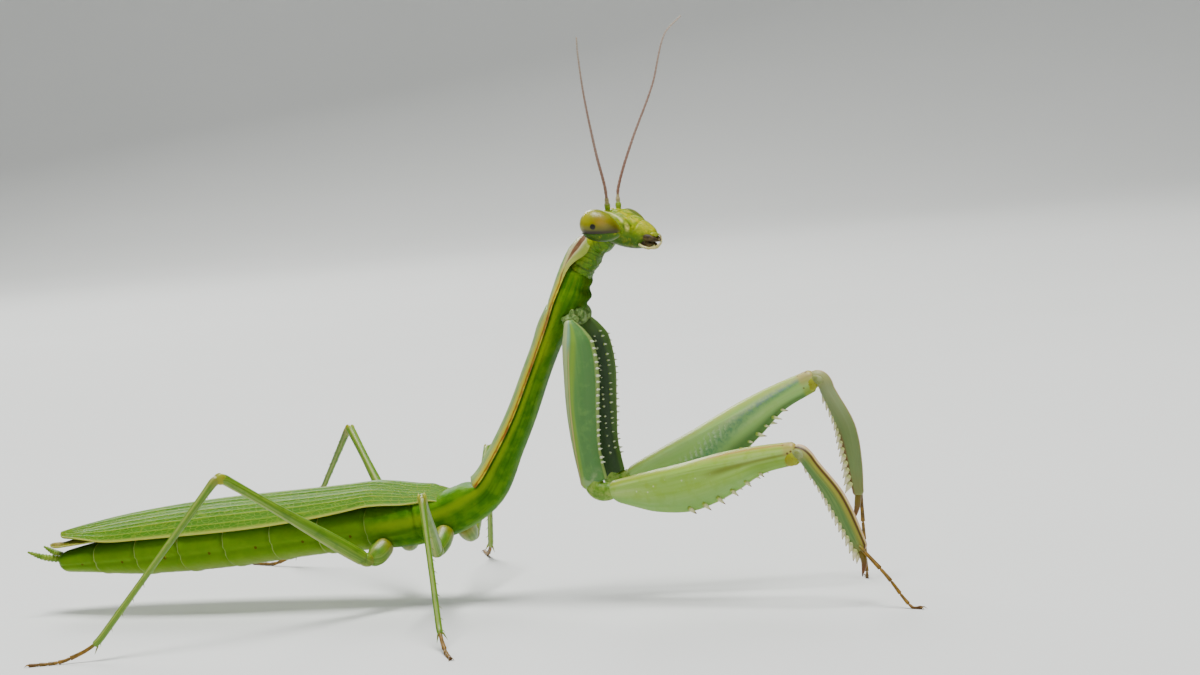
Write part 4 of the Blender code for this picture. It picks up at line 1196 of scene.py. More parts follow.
# %% Limbs and spines
def limb(line, start, end, sizes, side, keels=(), count=90, ring=56, power=0.95, origin=None,
         ends=((0.45, 0.45), (0.25, 0.25)), relief=None, bevel=0.0, hint=(0, 1, 0)):
    """A limb between two distances of a line.

    The ring is an oval with one keel for each (angle, height, width): the radius grows by the height
    times a bell of the angle. A bevel narrows the top and widens the bottom. The place keeps the
    distance from the origin, the share towards the outside of the animal, and the share up.
    """
    d = spread(start, end, count, ends[0])
    from_start = d - (start if origin is None else origin)
    half, above, below = columns(sizes, from_start)
    angles = turn_round(ring)[None]
    u, v = oval(angles, power)
    size = 1 + 0 * angles
    for angle, height, width in keels:
        size = size + height * bump((angles - angle + np.pi) % (2 * np.pi) - np.pi, 0, width)
    if relief is not None:
        size = size + relief(from_start[:, None], u * side, v)
    size = size * rounded(d, ends[0], ends[1])[:, None]
    across = half * u * (1 - bevel * v) * size
    up = np.where(v > 0, v * above, v * below) * size
    return sweep(line, d, hint, across, up, ring_places(from_start, u * side, v))


def spine(root, tip, radius, curve=(0, 0, 0), rows=7, ring=8, taper=1.3):
    """A curved cone: its middle is pushed by the curve, and its radius falls with the share along to
    the power of the taper."""
    f = np.linspace(0, 1, rows)[:, None]
    middle = (root + tip) / 2 + np.asarray(curve)
    centre = root * (1 - f) ** 2 + middle * (2 * f * (1 - f)) + tip * f * f
    reach = (tip - root) / np.linalg.norm(tip - root)
    # Any direction will do to start the ring, as long as no spine lies along it
    side = np.cross(reach, (0.36, 0.48, 0.8))
    side /= np.linalg.norm(side)
    top = np.cross(reach, side)
    a = turn_round(ring)[None, :, None]
    size = radius * (1 - f[:, None] ** taper * 0.94)
    grid = centre[:, None] + size * (np.cos(a) * side + np.sin(a) * top)
    return tube(grid, ring_places(f[:, 0], np.cos(a[..., 0]), np.sin(a[..., 0])))


def spine_row(line, origin, sizes, spots, lengths, radii, out, lean=0.0, splay=0.25, place=0.5, up=-1,
              bend=-0.12, taper=1.3):
    """Spines along one edge of a limb: each stands at its spot, the given share out to its side,
    leans towards the limb's end, and curves by the bend."""
    spots = np.asarray(spots, float)
    d = spots + origin
    side, top = line.across(d, (0, 1, 0))
    half, above, below = smooth(sizes, spots).T
    depth = (above if up > 0 else below) * np.sqrt(1 - place**2)
    root = line.at(d) + side * (out * half * place)[:, None] + up * top * (depth - SPINE_ROOT)[:, None]
    reach = up * top * np.sqrt(1 - place**2) + line.along(d) * lean + side * out * (splay + place**2)
    reach /= np.linalg.norm(reach, axis=1, keepdims=True)
    curves = line.along(d) * bend
    return [spine(r, r + a * (n + SPINE_ROOT), w, b * n, taper=taper)
            for r, a, n, w, b in zip(root, reach, lengths, radii, curves)]


thorn = spine(np.zeros(3), np.array((0.0, 0.0, 1.0)), 0.1)
print("faces of one spine:", len(thorn.quads) + len(thorn.triangles))

# %% [markdown]
# ### Finishes of the forelegs
# The outer faces are pale blue-green to yellow-green with long light streaks; the inner faces are
# darker, with rows of white warts. Spines are ivory with brown points.

# %% Paint the coxa and the femur
def coxa_finish():
    """Blue-green outside, with a cream keel that slants back, a yellow-green band beside it and painted
    highlights near the root and at the far end; dark green inside, partly its own colour and partly
    painted shade."""
    skin = Finish("coxa_skin", soft=0.15, deep=0.5)
    along, across, up = skin.axes
    flow, cloud = skin.streaks(0.18, 6.0, 6.0), skin.noise(1.4, 4)
    inside = across.rise(0.15, -0.3)
    # The keel's height falls with the distance along; the level is the height over the keel
    level = up + along * 0.085 - 0.14
    keel = level.band(0.0, 0.13) * along.rise(1.4, 2.6) * (1 - inside)
    base = skin.layers(
        (106, 146, 88), ((126, 166, 102), flow.rise(0.45, 0.65) * 0.5),
        ((90, 128, 78), level.rise(0.3, 0.75) * cloud.rise(0.3, 0.5) * 0.8),
        ((150, 178, 92), (level - 0.22).band(0.0, 0.22) * 0.75),
        ((192, 204, 156), level.rise(-0.05, -0.22) * 0.85),
        # Painted highlight: pale blue-white beside the keel near the root
        ((158, 190, 172), along.rise(3.0, 1.2) * (level + 0.05).band(0.0, 0.2) * 0.7),
        # Painted highlight: pale patches at the coxa's far end
        ((176, 196, 148), along.rise(10.4, 11.8) * cloud.rise(0.4, 0.6) * 0.6),
        ((206, 190, 138), keel * (0.55 + flow.rise(0.4, 0.6) * 0.4)),
        # Dark green inside: partly the inner face's own colour, partly painted shade
        ((36, 60, 0), inside * 0.95),
        ((92, 120, 68), inside * (up.rise(0.75, 0.92) + along.rise(2.0, 0.8)) * 0.7),
        ((164, 182, 120), (up - 0.98).band(0.0, 0.07) * (1 - inside) * 0.8))
    return skin.done(base, 0.42 + cloud * 0.12, flow * 0.4 + skin.noise(7, 2) * 0.6, 0.025)


def femur_finish():
    """Outside: light streaks on yellow-green, an olive slanting shade near the knee and a few white
    specks. Inside: a bluish band with slanting pale pits, slate-grey near the knee, and a dark green
    lower edge. The knee itself is tan above and olive below, with a few dark dots."""
    skin = Finish("femur_skin", soft=0.18, deep=0.6)
    along, across, up = skin.axes
    flow, cloud = skin.streaks(0.12, 3.6, 3.6), skin.noise(1.2, 4)
    inside = across.rise(0.1, -0.3)
    outside = across.rise(-0.1, 0.3)
    knee = (along + cloud * 0.5).rise(14.4, 14.75)
    specks = skin.grains(1.5).rise(0.13, 0.08) * (up + 0.22).band(0.0, 0.3) * along.rise(9.0, 7.0)
    shade = (up + 0.4 - along * 0.033).band(0.0, 0.2) * along.rise(7.0, 9.5) * outside
    # The band inside climbs towards the knee; its pits are a sine of the distance, slanted by height
    level = up + 0.95 - along * 0.115
    speckle = skin.noise(4.5, 3)
    pits = ((along * 14.5 - up * 9.0 + speckle * 9).sine().rise(-0.2, 0.9) * level.band(0.02, 0.3)
            * along.rise(2.0, 3.2) * along.rise(9.5, 7.0) * speckle.rise(0.36, 0.56))
    milky = level.band(0.1, 0.34) * along.rise(6.0, 9.0) * (speckle.rise(0.3, 0.6) * 0.6 + 0.4)
    slate = level.band(-0.05, 0.3) * along.rise(8.0, 11.0) * speckle.rise(0.62, 0.4)
    base = skin.layers(
        (174, 206, 122), ((204, 224, 156), flow.rise(0.45, 0.7) * 0.7),
        ((150, 184, 94), flow.rise(0.5, 0.3) * 0.6), ((160, 188, 94), cloud.rise(0.5, 0.65) * 0.4),
        ((134, 176, 112), up.rise(-0.3, -0.8) * 0.6), ((118, 124, 44), shade * 0.75),
        ((172, 208, 146), inside * 0.6),
        ((132, 164, 78), along.rise(10.5, 12.5) * up.rise(0.0, -0.3) * outside * 0.6),
        ((104, 146, 110), inside * level.band(-0.2, 0.4) * (0.6 + speckle.rise(0.6, 0.4) * 0.3)),
        ((190, 206, 164), milky * inside * 0.75), ((200, 220, 186), pits * inside * 0.7),
        ((146, 160, 158), slate * inside * 0.7),
        ((70, 108, 30), inside * up.rise(-0.45, -0.8) * along.rise(6.0, 8.0) * 0.85),
        ((184, 182, 92), up.rise(0.35, 0.85) * 0.45),
        ((176, 132, 78), (up - 0.9).band(0.0, 0.14) * along.rise(6.5, 9.0) * outside * 0.7),
        ((164, 178, 96), up.rise(0.97, 0.995) * 0.8),
        ((206, 210, 150), up.rise(-0.95, -0.995) * 0.8),
        ((230, 236, 190), specks * outside * 0.8),
        ((188, 170, 116), knee * up.rise(-0.5, 0.4) * 0.65),
        ((156, 170, 72), knee * up.rise(-0.1, -0.5) * 0.6),
        (BARK, knee * skin.grains(2.4).rise(0.28, 0.18) * 0.85))
    return skin.done(base, 0.4 + cloud * 0.12, flow * 0.5 + pits * inside, 0.025)


COXA_SKIN, FEMUR_SKIN = coxa_finish(), femur_finish()
print("materials so far:", len(bpy.data.materials))

# %% [markdown]
# ### Finishes of tibia, horn and feet
# The tibia's back edge carries a dark line under a pale one. Horn is pale at the root and brown at
# the point; feet are tan, darkest at the claws.

# %% Paint the tibia, the spines and the feet
def tibia_finish():
    """Outside: green with an olive back, and a pale line along the very edge over a dark brown one.
    Inside: greyish green, with red-brown between the teeth."""
    skin = Finish("tibia_skin", soft=0.15, deep=0.5)
    along, across, up = skin.axes
    flow = skin.streaks(0.3, 5.0, 5.0)
    outside = across.rise(-0.3, 0.1)
    base = skin.layers(
        (104, 134, 84), ((134, 158, 100), flow.rise(0.4, 0.65) * 0.7),
        ((126, 140, 96), (1 - outside) * 0.8),
        ((162, 170, 134), (1 - outside) * along.rise(4.5, 0.8) * 0.6),
        ((160, 150, 66), up.rise(0.0, 0.6) * outside * 0.7),
        ((150, 116, 50), along.rise(6.6, 8.4) * (outside * 0.3 + 0.2)),
        ((164, 166, 116), along.rise(0.6, -0.1) * 0.8),
        ((70, 34, 14), (up - 0.8).band(0.0, 0.17) * outside),
        ((222, 196, 164), up.rise(0.91, 0.97) * outside * 0.9),
        ((178, 196, 132), up.rise(-0.9, -0.99) * outside * 0.7),
        ((116, 60, 36), up.rise(-0.35, -0.75) * (1 - outside) * along.rise(3.0, 5.0) * 0.8))
    return skin.done(base, 0.42 + flow * 0.1, flow + skin.noise(8, 2) * 0.4, 0.02)


def spine_finish(name, pale, point, root=(164, 186, 104)):
    """Pale horn, greenish at the root, with a brown point from the given share along."""
    horn = Finish(name)
    along = horn.axes[0]
    tip = (along + horn.noise(3, 2) * 0.2).rise(point, point + 0.2)
    base = horn.layers(root, (pale, along.rise(0.15, 0.45)), ((104, 58, 22), tip))
    return horn.done(base, 0.4, horn.noise(8, 2), 0.006)


def foot_finish():
    """Tan joints with dark rings, browner towards the claws."""
    foot = Finish("foot_skin")
    along = foot.axes[0]
    cloud = foot.noise(3, 3)
    base = foot.layers((104, 80, 26), ((140, 108, 44), cloud.rise(0.4, 0.6)),
                       ((112, 124, 40), along.rise(0.12, 0.0) * 0.6),
                       ((74, 42, 14), along.rise(0.8, 1.0) * 0.7))
    return foot.done(base, 0.45, cloud + foot.noise(12, 2) * 0.5, 0.015)


def claw_finish():
    """Orange-brown horn, almost black at the point."""
    claw = Finish("claw_horn", specular=0.2, coat_weight=0.2, coat_roughness=0.15)
    along = claw.axes[0]
    base = claw.layers((112, 96, 8), ((104, 66, 4), along.rise(0.2, 0.7)),
                       ((34, 16, 6), along.rise(0.8, 1.0)))
    return claw.done(base, 0.3, claw.noise(6, 3), 0.008)


TIBIA_SKIN = tibia_finish()
SPINE_HORN = spine_finish("spine_horn", (230, 230, 184), 0.82)
WART_HORN = spine_finish("wart_horn", (226, 232, 206), 1.2)
BLADE_HORN = spine_finish("blade_horn", (238, 232, 196), 0.9, (200, 206, 146))
FOOT_SKIN, CLAW_HORN = foot_finish(), claw_finish()
print("materials so far:", len(bpy.data.materials))

# %% [markdown]
# ### Reliefs and feet
# A femur is ribbed along its faces and hollow between its spines, and a tibia is grooved below its
# back edge: both are bells of the share up, so they run along the limb. A foot is one tube of five
# joints whose underside is pressed flat, because the animal stands on it.

# %% Reliefs and feet
def femur_relief(along, out, up):
    """Three long low ribs on each face, and a hollow between the rows of spines."""
    ribs = 0.03 * bump(up, 0.3, 0.07) + 0.025 * bump(up, -0.35, 0.08) + 0.02 * bump(up, -0.08, 0.05)
    return ribs * step(along, 0.6, 2.5) - 0.05 * bump(out, 0, 0.2) * step(up, -0.8, -1.0)


def tibia_relief(along, out, up):
    """A groove below the back edge on each face."""
    return -0.05 * bump(up, 0.62, 0.1) * step(along, 0.4, 1.5) + 0 * out


FOOT_HINT = (0.3, 1, 0.1)   # roughly the direction across a foot


def tarsus(line, radius=0.15, edges=(0.34, 0.52, 0.68, 0.82), claws=0.42):
    """A foot of five joints, each wider at its far end, pressed flat on the floor, with two claws."""
    places = spread(0, line.length, 110, (0.1, 0.1))
    f = places / line.length
    bounds = np.array([0.0, *edges, 1.0])
    k = np.clip(np.searchsorted(bounds, f, side="right") - 1, 0, len(bounds) - 2)
    share = (f - bounds[k]) / (bounds[k + 1] - bounds[k])
    size = radius * (0.78 + 0.3 * share**2) * (1 - 0.55 * bump(share, 0.0, 0.06)) * (1.08 - 0.25 * f)
    foot = pipe(line, places, size * rounded(places, (0.12, 0.12), (0.3, 0.3)), 18, FOOT_HINT)
    foot.points[:, 2] = np.maximum(foot.points[:, 2], 0.0)
    along, = line.along([line.length])
    across, = line.across([line.length], FOOT_HINT)[0]
    root = line.at([line.length])[0] - along * 0.1
    hooks = []
    for out in (-1, 1):
        tip = root + along * claws + across * out * 0.2
        tip[2] = 0.01
        hooks.append(spine(root + across * out * 0.05, tip, 0.06, (0, 0, 0.16), 8, 8))
    return [foot, *hooks]


foot = tarsus(Line(((0, 0, SOLE), (4, 0, SOLE))))[0]
print("height of a foot from %.2f to %.2f mm" % (foot.points[:, 2].min(), foot.points[:, 2].max()))

# %% [markdown]
# ### Knees and sockets
# Every part runs a little way inside the next one, as real joints do, so no light shows between
# them. A knee has a rounded lobe on each side of the femur that grips the oval head of the tibia,
# and soft folds of skin cover the coxa's root. Both are made of flattened balls, which need no seam
# where they sink into a limb.

# %% Knees, sockets and their finishes
def pair(line, place, hint, shift, radii, rows, ring):
    """Two flat balls beside a joint, shifted along the limb, outwards to both sides, and up."""
    middle, = line.at([place])
    along, = line.along([place])
    across, top = (rows[0] for rows in line.across([place], hint))
    turn = np.column_stack([along, across, top])
    return [ball(middle + turn @ (np.array(shift) * (1, out, 1)), radii, turn, rows, ring)
            for out in (-1, 1)]


# The soft folds over a coxa's root: shift from the root, radii, and lean forward in degrees
SOCKET_FOLDS = (((-0.1, -0.5, 0.0), (0.62, 0.55, 0.6), 0), ((0.5, -0.95, 0.4), (0.42, 0.55, 0.62), -20),
                ((-0.3, -0.16, 0.2), (0.42, 0.25, 0.22), 10), ((0.08, -0.28, 0.5), (0.22, 0.25, 0.42), 15),
                ((0.28, -0.3, 0.2), (0.42, 0.26, 0.28), 50))


def socket_folds(root, side):
    """Balls of soft skin; each leans by a turn about the left-right axis that tips its front down."""
    folds = []
    for shift, size, lean in SOCKET_FOLDS:
        c, s = np.cos(np.radians(lean)), np.sin(np.radians(lean))
        turn = np.array([[c, 0, s], [0, 1, 0], [-s, 0, c]])
        folds.append(ball(root + np.array(shift) * (1, side, 1), size, turn, 20, 26))
    return folds


KNEE_SKIN = plain_skin("knee_skin", (172, 180, 92), (158, 160, 72), (110, 84, 40), 1.2)
TROCHANTER_SKIN = plain_skin("trochanter_skin", (156, 178, 104), (104, 142, 62), (190, 206, 140))
PAD_SKIN = plain_skin("pad_skin", (168, 174, 132), (140, 150, 96), (120, 96, 60), 2.2)
print("materials so far:", len(bpy.data.materials))

# %% [markdown]
# ### Spines and teeth
# A femur carries a row of six spines outside and a row of twelve inside, where every second one is
# short. A tibia has two rows of flat teeth that lie against it and grow towards its end, and a coxa
# one row of teeth on its front edge and two of small warts inside it. Each is a curved cone sunk a
# little way into its limb, so no gap shows at its root.

# %% Rows of spines
def femur_spines(line, origin, side):
    """Both rows lean towards the knee; the right leg's inner row spreads wider than the left one's,
    whose spines are longer."""
    count = np.arange(6)
    outer = spine_row(line, origin, FEMUR_SIZE, 6.0 + 1.22 * count, (0.62, 0.68, 0.68, 0.62, 0.52, 0.4),
                      0.23 - 0.012 * count, side, 0.85 if side == RIGHT else 1.3, 0.1, 0.4, bend=-0.15)
    count = np.arange(12)
    short = count % 2
    lean, splay, longest = (0.6, 0.7, 0.4) if side == RIGHT else (1.1, 0.15, 0.66)
    return outer + spine_row(line, origin, FEMUR_SIZE, 3.4 + 0.8 * count, np.where(short, 0.32, longest),
                             np.where(short, 0.13, 0.17), -side, lean, splay, 0.45)


def tibia_teeth(line, origin, side):
    """Two rows of 14, whose length grows with the share along to the power of 1.3."""
    count = np.arange(14)
    lengths = (0.3 if side == RIGHT else 0.42) + 0.42 * (count / 13) ** 1.3
    teeth = []
    for out, first in ((side, 0.8), (-side, 1.05)):
        teeth += spine_row(line, origin, TIBIA_SIZE, first + 0.52 * count, lengths, 0.16 + 0.004 * count,
                           out, 1.05, 0.0, 0.35, taper=2.2)
    return teeth


def coxa_teeth(line, side):
    """A row on the front edge and two rows of warts on the inner face; sines make them uneven."""
    count = np.arange(19)
    teeth = spine_row(line, 0.0, COXA_SIZE, 1.5 + 0.5 * count + 0.1 * np.sin(3.1 * count),
                      0.26 + 0.05 * np.sin(5.3 * count), 0.145 + 0.015 * np.sin(4.1 * count),
                      side, 0.0, 0.1, 0.1, 1)
    count = np.arange(17)
    for place, shift in ((0.8, 1.4), (0.45, 1.15)):
        spots = shift + 0.55 * count + 0.14 * np.sin(4.7 * count + place)
        teeth += spine_row(line, 0.0, COXA_SIZE, spots, 0.12 + 0 * count, 0.085 + 0.02 * np.sin(7.1 * count),
                           -side, 0.0, 0.0, place, 1)
    return teeth


straight = Line(((0, 0, 0), (15, 0, 0)))
print("spines of a femur:", len(femur_spines(straight, 0.0, RIGHT)), "teeth of a tibia:",
      len(tibia_teeth(straight, 0.0, RIGHT)), "teeth and warts of a coxa:", len(coxa_teeth(straight, RIGHT)))

# %% [markdown]
# ### The whole foreleg
# One function makes both: only the joints, the bow of the tibia and the place of the toe differ.

# %% Build the forelegs
def segments(word, side, line, elbow, knee):
    """Coxa, trochanter, femur and tibia, each from inside the part before it."""
    hip, start, end = elbow - BEFORE_ELBOW, elbow + PAST_ELBOW, line.length
    keels = ((KEEL_UP, 0.07, 0.14), (KEEL_DOWN, 0.05, 0.16), (KEEL_DOWN + 0.55 * side, 0.03, 0.1),
             (np.pi * (side < 0) + 0.5 * side, 0.02, 0.12))
    coxa = limb(line, -0.15, hip + 0.75, COXA_SIZE, side, keels, 130, 72, 0.85, 0.0,
                ((0.3, 0.45), (0.4, 0.3)), bevel=0.3)
    trochanter = limb(line, hip - 0.15, start + 0.3, TROCHANTER_SIZE, side, ((KEEL_UP, 0.05, 0.3),), 40, 48,
                      origin=hip + JOINT_GAP, ends=((0.5, 0.5), (0.45, 0.45)))
    keels = ((KEEL_UP, 0.06, 0.14), (KEEL_DOWN - 0.3, 0.03, 0.1), (KEEL_DOWN + 0.3, 0.03, 0.1))
    femur = limb(line, start - 0.1, knee - 0.4, FEMUR_SIZE, side, keels, 150, 80, origin=start + JOINT_GAP,
                 ends=((0.7, 0.3), (0.35, 0.6)), relief=femur_relief)
    tibia = limb(line, knee - 0.65, end, TIBIA_SIZE, side, ((KEEL_UP, 0.1, 0.2),), 110, 56,
                 origin=knee + JOINT_GAP, ends=((0.5, 0.35), (0.5, 0.3)), relief=tibia_relief)
    for part, shape, finish in (("coxa", coxa, COXA_SKIN), ("trochanter", trochanter, TROCHANTER_SKIN),
                                ("femur", femur, FEMUR_SKIN), ("tibia", tibia, TIBIA_SKIN)):
        make("%s_%s" % (part, word), [shape], finish, ["fore_%s_%s" % (part, word)])
    make("spines_" + word, femur_spines(line, start + JOINT_GAP, side), SPINE_HORN)
    make("tibia_teeth_" + word, tibia_teeth(line, knee + JOINT_GAP, side), BLADE_HORN)
    make("coxa_teeth_" + word, coxa_teeth(line, side), WART_HORN)


def claw_and_foot(word, side, line):
    """The claw hooks down and back from the tibia's tip; the foot springs from beside it and runs to
    the toe, where it lies along the floor."""
    tip, ahead = line.at([line.length])[0], line.along([line.length])[0]
    hook = [tip + ahead * far + (back, 0, low)
            for far, back, low in ((-0.15, 0, 0), (0.3, -0.1, 0), (0.95, -0.3, 0), (1.55, -0.75, -0.4))]
    make("claw_" + word,
         [round_tube(hook, ((0, 0.24), (0.3, 0.24), (0.7, 0.15), (1, 0.02)), count=50, ring=16)],
         CLAW_HORN, ["fore_claw_" + word])
    root = line.at([line.length - 0.45])[0] + (0.1, side * 0.5, 0.05)
    toe = np.array(FORE_TOE[word]) + (0, 0, SOLE)
    out = (toe - root) * (1, 1, 0)
    out /= np.linalg.norm(out)
    make("foot_fore_" + word, tarsus(Line([root, (root + toe) / 2 + out * 0.15, toe, toe + out * 0.85])),
         FOOT_SKIN, ["fore_tarsus_" + word])


def foreleg(word, side):
    bows = ((-0.25, side * 0.2, 0.0), (0.0, 0.0, 0.1), TIBIA_BOW[word])
    line, (elbow, knee) = jointed(FORELEG[word], FORELEG_BEND, bows)
    segments(word, side, line, elbow, knee)
    claw_and_foot(word, side, line)
    make("knee_lobes_" + word, pair(line, knee, (0, 1, 0), (-0.5, 0.3, -0.42), (0.52, 0.25, 0.56), 24, 28),
         KNEE_SKIN)
    make("knee_pads_" + word, pair(line, knee, (0, 1, 0), (-0.12, 0.38, 0.1), (0.47, 0.17, 0.31), 18, 22),
         PAD_SKIN)
    make("coxa_socket_" + word, socket_folds(line.at([0.0])[0], side), MEMBRANE)


for word, side in SIDES.items():
    foreleg(word, side)

# %% [markdown]
# ## Walking legs
# Four thin legs carry the body: coxa, a ring-like trochanter, a ribbed femur with small lobes at the
# knee, a straight tibia set with fine bristles, and a foot of five joints that lies on the floor.
# The four differ only in where their joints lie, so one function builds them from a short table.

# %% Joints and sizes of the walking legs
# The coxa's root and end, then the knee, the ankle and the toe
WALKING = {
    "mid_right": ((-1.5, -1.9, 5.6), (-1.6, -3.5, 4.3), (1.5, -12.6, 9.9), (4.5, -18.6, 1.1),
                  (6.7, -22.3, 0)),
    "mid_left": ((-1.5, 1.9, 5.6), (-1.6, 3.5, 4.3), (-3.5, 13.0, 10.0), (-6.5, 19.0, 1.1),
                 (-8.7, 22.9, 0)),
    "hind_right": ((-6.2, -2.3, 4.8), (-6.9, -3.7, 3.8), (-13.5, -14.0, 12.1), (-21.5, -19.8, 1.1),
                   (-26.0, -21.6, 0)),
    "hind_left": ((-6.2, 2.3, 4.8), (-6.9, 3.7, 3.8), (-15.0, 12.6, 12.1), (-23.5, 18.4, 1.1),
                  (-28.4, 20.4, 0)),
}
FEMUR_RADII = {"mid": ((0, 0.52), (2, 0.52), (8, 0.34), (11, 0.37)),
               "hind": ((0, 0.56), (3, 0.58), (10, 0.36), (14.5, 0.39))}
TIBIA_RADII = {"mid": ((0, 0.33), (1.2, 0.28), (5, 0.24), (10.5, 0.25)),
               "hind": ((0, 0.35), (1.5, 0.3), (7, 0.24), (14.5, 0.26))}


def oval_sizes(radii, flat=0.88):
    """Size knots from radii: half width, and the height above and below, a little flatter."""
    return tuple((place, (radius * flat, radius, radius)) for place, radius in radii)


print("walking legs:", {name: round(Line(points).length, 1) for name, points in WALKING.items()}, "mm")

# %% [markdown]
# ### Finish, bristles and ribs of the walking legs
# The ribs are keels of the ring, as on the forelegs. The bristles are spines with few faces,
# because there are dozens of them and each is only a third of a millimetre long.

# %% Finish, bristles and ribs
def leg_finish():
    """Green femurs and tibias with long pale ribs, tan at the joints."""
    skin = Finish("leg_skin", soft=0.15, deep=0.5, coat_weight=0.1)
    along, _, up = skin.axes
    flow, cloud = skin.streaks(0.15, 4.0, 4.0), skin.noise(1.5, 4)
    base = skin.layers((104, 138, 60), ((140, 166, 88), flow.rise(0.4, 0.62) * 0.85),
                       ((82, 116, 40), cloud.rise(0.5, 0.68) * 0.5),
                       ((186, 190, 130), abs(up).rise(0.93, 1.0) * 0.5),
                       ((150, 132, 70), along.rise(0.9, 0.0) * 0.5))
    return skin.done(base, 0.42, flow + skin.noise(8, 2) * 0.5, 0.015)


def bristles(line, start, end, hint, radius=0.26, count=22):
    """Short spines in two rows under a tibia, leaning towards the foot, and two longer spurs."""
    d = np.linspace(start + 0.8, end - 0.4, count)
    side, top = line.across(d, hint)
    along, centre = line.along(d), line.at(d)
    made = []
    for k in range(count):
        outwards = side[k] * (0.6 if k % 2 else -0.6)
        root = centre[k] + (outwards - top[k] * 0.55) * radius * 0.9
        reach = outwards - top[k] * 0.55 + along[k] * 0.75
        made.append(spine(root, root + reach * 0.3, 0.035, rows=4, ring=6))
    for out in (-1, 1):
        root = line.at([end - 0.1])[0] + side[-1] * out * radius * 0.7 - top[-1] * radius * 0.5
        reach = along[-1] * 0.6 + side[-1] * out * 0.22 - top[-1] * 0.12
        made.append(spine(root, root + reach, 0.07, rows=6))
    return made


def ribs(count, turn, height, width):
    """Keels at even angles round a limb."""
    return tuple((k * 2 * np.pi / count + turn, height, width) for k in range(count))


LEG_SKIN = leg_finish()
print("bristles and spurs of a tibia:", len(bristles(straight, 0.0, 10.0, (0, 1, 0))))

# %% [markdown]
# ### The whole walking leg
# The four legs differ in their joints alone, and a hind leg is a little stouter than a middle one.

# %% Build the walking legs
def walking_leg(name, points):
    """Every part runs a little way inside the next, as on the forelegs; the foot lies on the floor."""
    which, word = name.split("_")
    toe = np.array(points[-1]) + (0, 0, SOLE)
    ball_of_foot = (np.array(points[-2]) + toe) / 2 * (1, 1, 0) + (0, 0, SOLE)
    line, (hip, knee, heel, _) = jointed([*points[:-1], ball_of_foot, toe], 0.8)
    hint = np.array((-SIDES[word], 0, 0))
    coxa_sizes = oval_sizes(((0, 0.72), (1, 0.75 if which == "hind" else 0.72), (hip, 0.5)), 1.0)
    coxa = limb(line, -0.3, hip + 0.1, coxa_sizes, 1, ((KEEL_UP, 0.05, 0.2),), 40, 40, origin=0.0,
                ends=((0.5, 0.4), (0.5, 0.5)), hint=hint)
    trochanter = limb(line, hip - 0.15, hip + 0.85, oval_sizes(((0, 0.45), (0.5, 0.52), (1.0, 0.44)), 1.0),
                      1, (), 24, 40, ends=((0.3, 0.3), (0.4, 0.4)), hint=hint)
    femur = limb(line, hip + 0.5, knee + 0.05, oval_sizes(FEMUR_RADII[which]), 1, ribs(6, 0.5, 0.04, 0.1),
                 110, 54, origin=hip + JOINT_GAP, ends=((0.4, 0.35), (0.4, 0.5)), hint=hint)
    tibia = limb(line, knee - 0.1, heel + 0.05, oval_sizes(TIBIA_RADII[which]), 1,
                 ribs(4, 0.8, 0.05, 0.16), 110, 40, origin=knee + JOINT_GAP,
                 ends=((0.4, 0.25), (0.35, 0.4)), hint=hint)
    for part, shapes in (("coxa", [coxa, trochanter]), ("femur", [femur]),
                         ("tibia", [tibia, *bristles(line, knee, heel, hint)])):
        make("%s_%s" % (name, part), shapes, LEG_SKIN, ["%s_%s_%s" % (which, part, word)])
    make(name + "_knee", pair(line, knee, hint, (-0.12, 0.2, 0), (0.42, 0.15, 0.4), 14, 18), KNEE_SKIN)
    ahead = line.at(np.linspace(heel - 0.1, line.length, 7))
    ahead[1:, 2] = np.maximum(ahead[1:, 2], SOLE)
    make(name + "_foot", tarsus(Line(ahead), 0.16, (0.4, 0.58, 0.72, 0.84)), FOOT_SKIN,
         ["%s_tarsus_%s" % (which, word)])


for name, points in WALKING.items():
    walking_leg(name, points)

# %% [markdown]
# ## Wings
# The leathery fore wings, the tegmina, lie over the back as a low roof, the right one over the left,
# and cover the folded hind wings. Their long veins are built, because they show in the outline's
# light; the fine net between them is thinner than a hair and is left to the finish.

# %% Finishes of the wings
def wing_finish(name, leaf, vein, net, scale, net_share):
    """A leathery leaf-like skin: a net of fine cross-veins in stretched cells, and pale long veins,
    whose height is the wing's share up."""
    skin = Finish(name, soft=0.2, deep=0.4, specular=0.2)
    _, across, up = skin.axes
    cloud = skin.noise(0.5, 4)
    cells = skin.grains(scale, skin.scaled(skin.space, (1.0, 2.6, 1.0)), "DISTANCE_TO_EDGE")
    lines = cells.rise(0.09, 0.02)
    base = skin.layers(leaf, (net, cloud.rise(0.35, 0.7) * 0.5), (vein, lines * net_share),
                       (vein, up.rise(0.3, 0.8) * 0.75),
                       ((196, 200, 120), across.rise(0.06, 0.0) * 0.8))
    return skin.done(base, 0.46 + cloud * 0.15, lines * 0.6 + skin.noise(6, 2) * 0.25, 0.02)


TEGMEN_SKIN = wing_finish("tegmen_skin", (84, 124, 40), (150, 172, 86), (104, 142, 56), 1.8, 0.4)
HINDWING_SKIN = wing_finish("hindwing_skin", (128, 134, 70), (120, 96, 52), (150, 156, 96), 1.4, 0.5)
print("materials so far:", len(bpy.data.materials))

# %% [markdown]
# ### A wing's plate
# A wing is a thin closed plate on a grid of two shares: along its length, and across from its outer
# edge to its inner one. It could be a sheet with a Solidify modifier. Worked out as a closed ring, it
# can be thin at its free edges and thicker between them, as the real one is.

# %% A wing's plate
# Height of the wings' bed over the back, and of a solid wing
BED, SOLID_WING = 0.2, 0.5
ROOF_WIDTH, ROOF_POWER = 3.2, 2.2
VEIN_HEIGHT, VEIN_WIDTH, PLEATS = 0.05, 0.012, 9
trunk_places = np.linspace(PRONOTUM_END, BODY.length, 400)
trunk_x = BODY.at(trunk_places)[:, 0]
trunk_back = BODY.at(trunk_places)[:, 2] + smooth(BODY_SIZE, trunk_places)[:, 1]


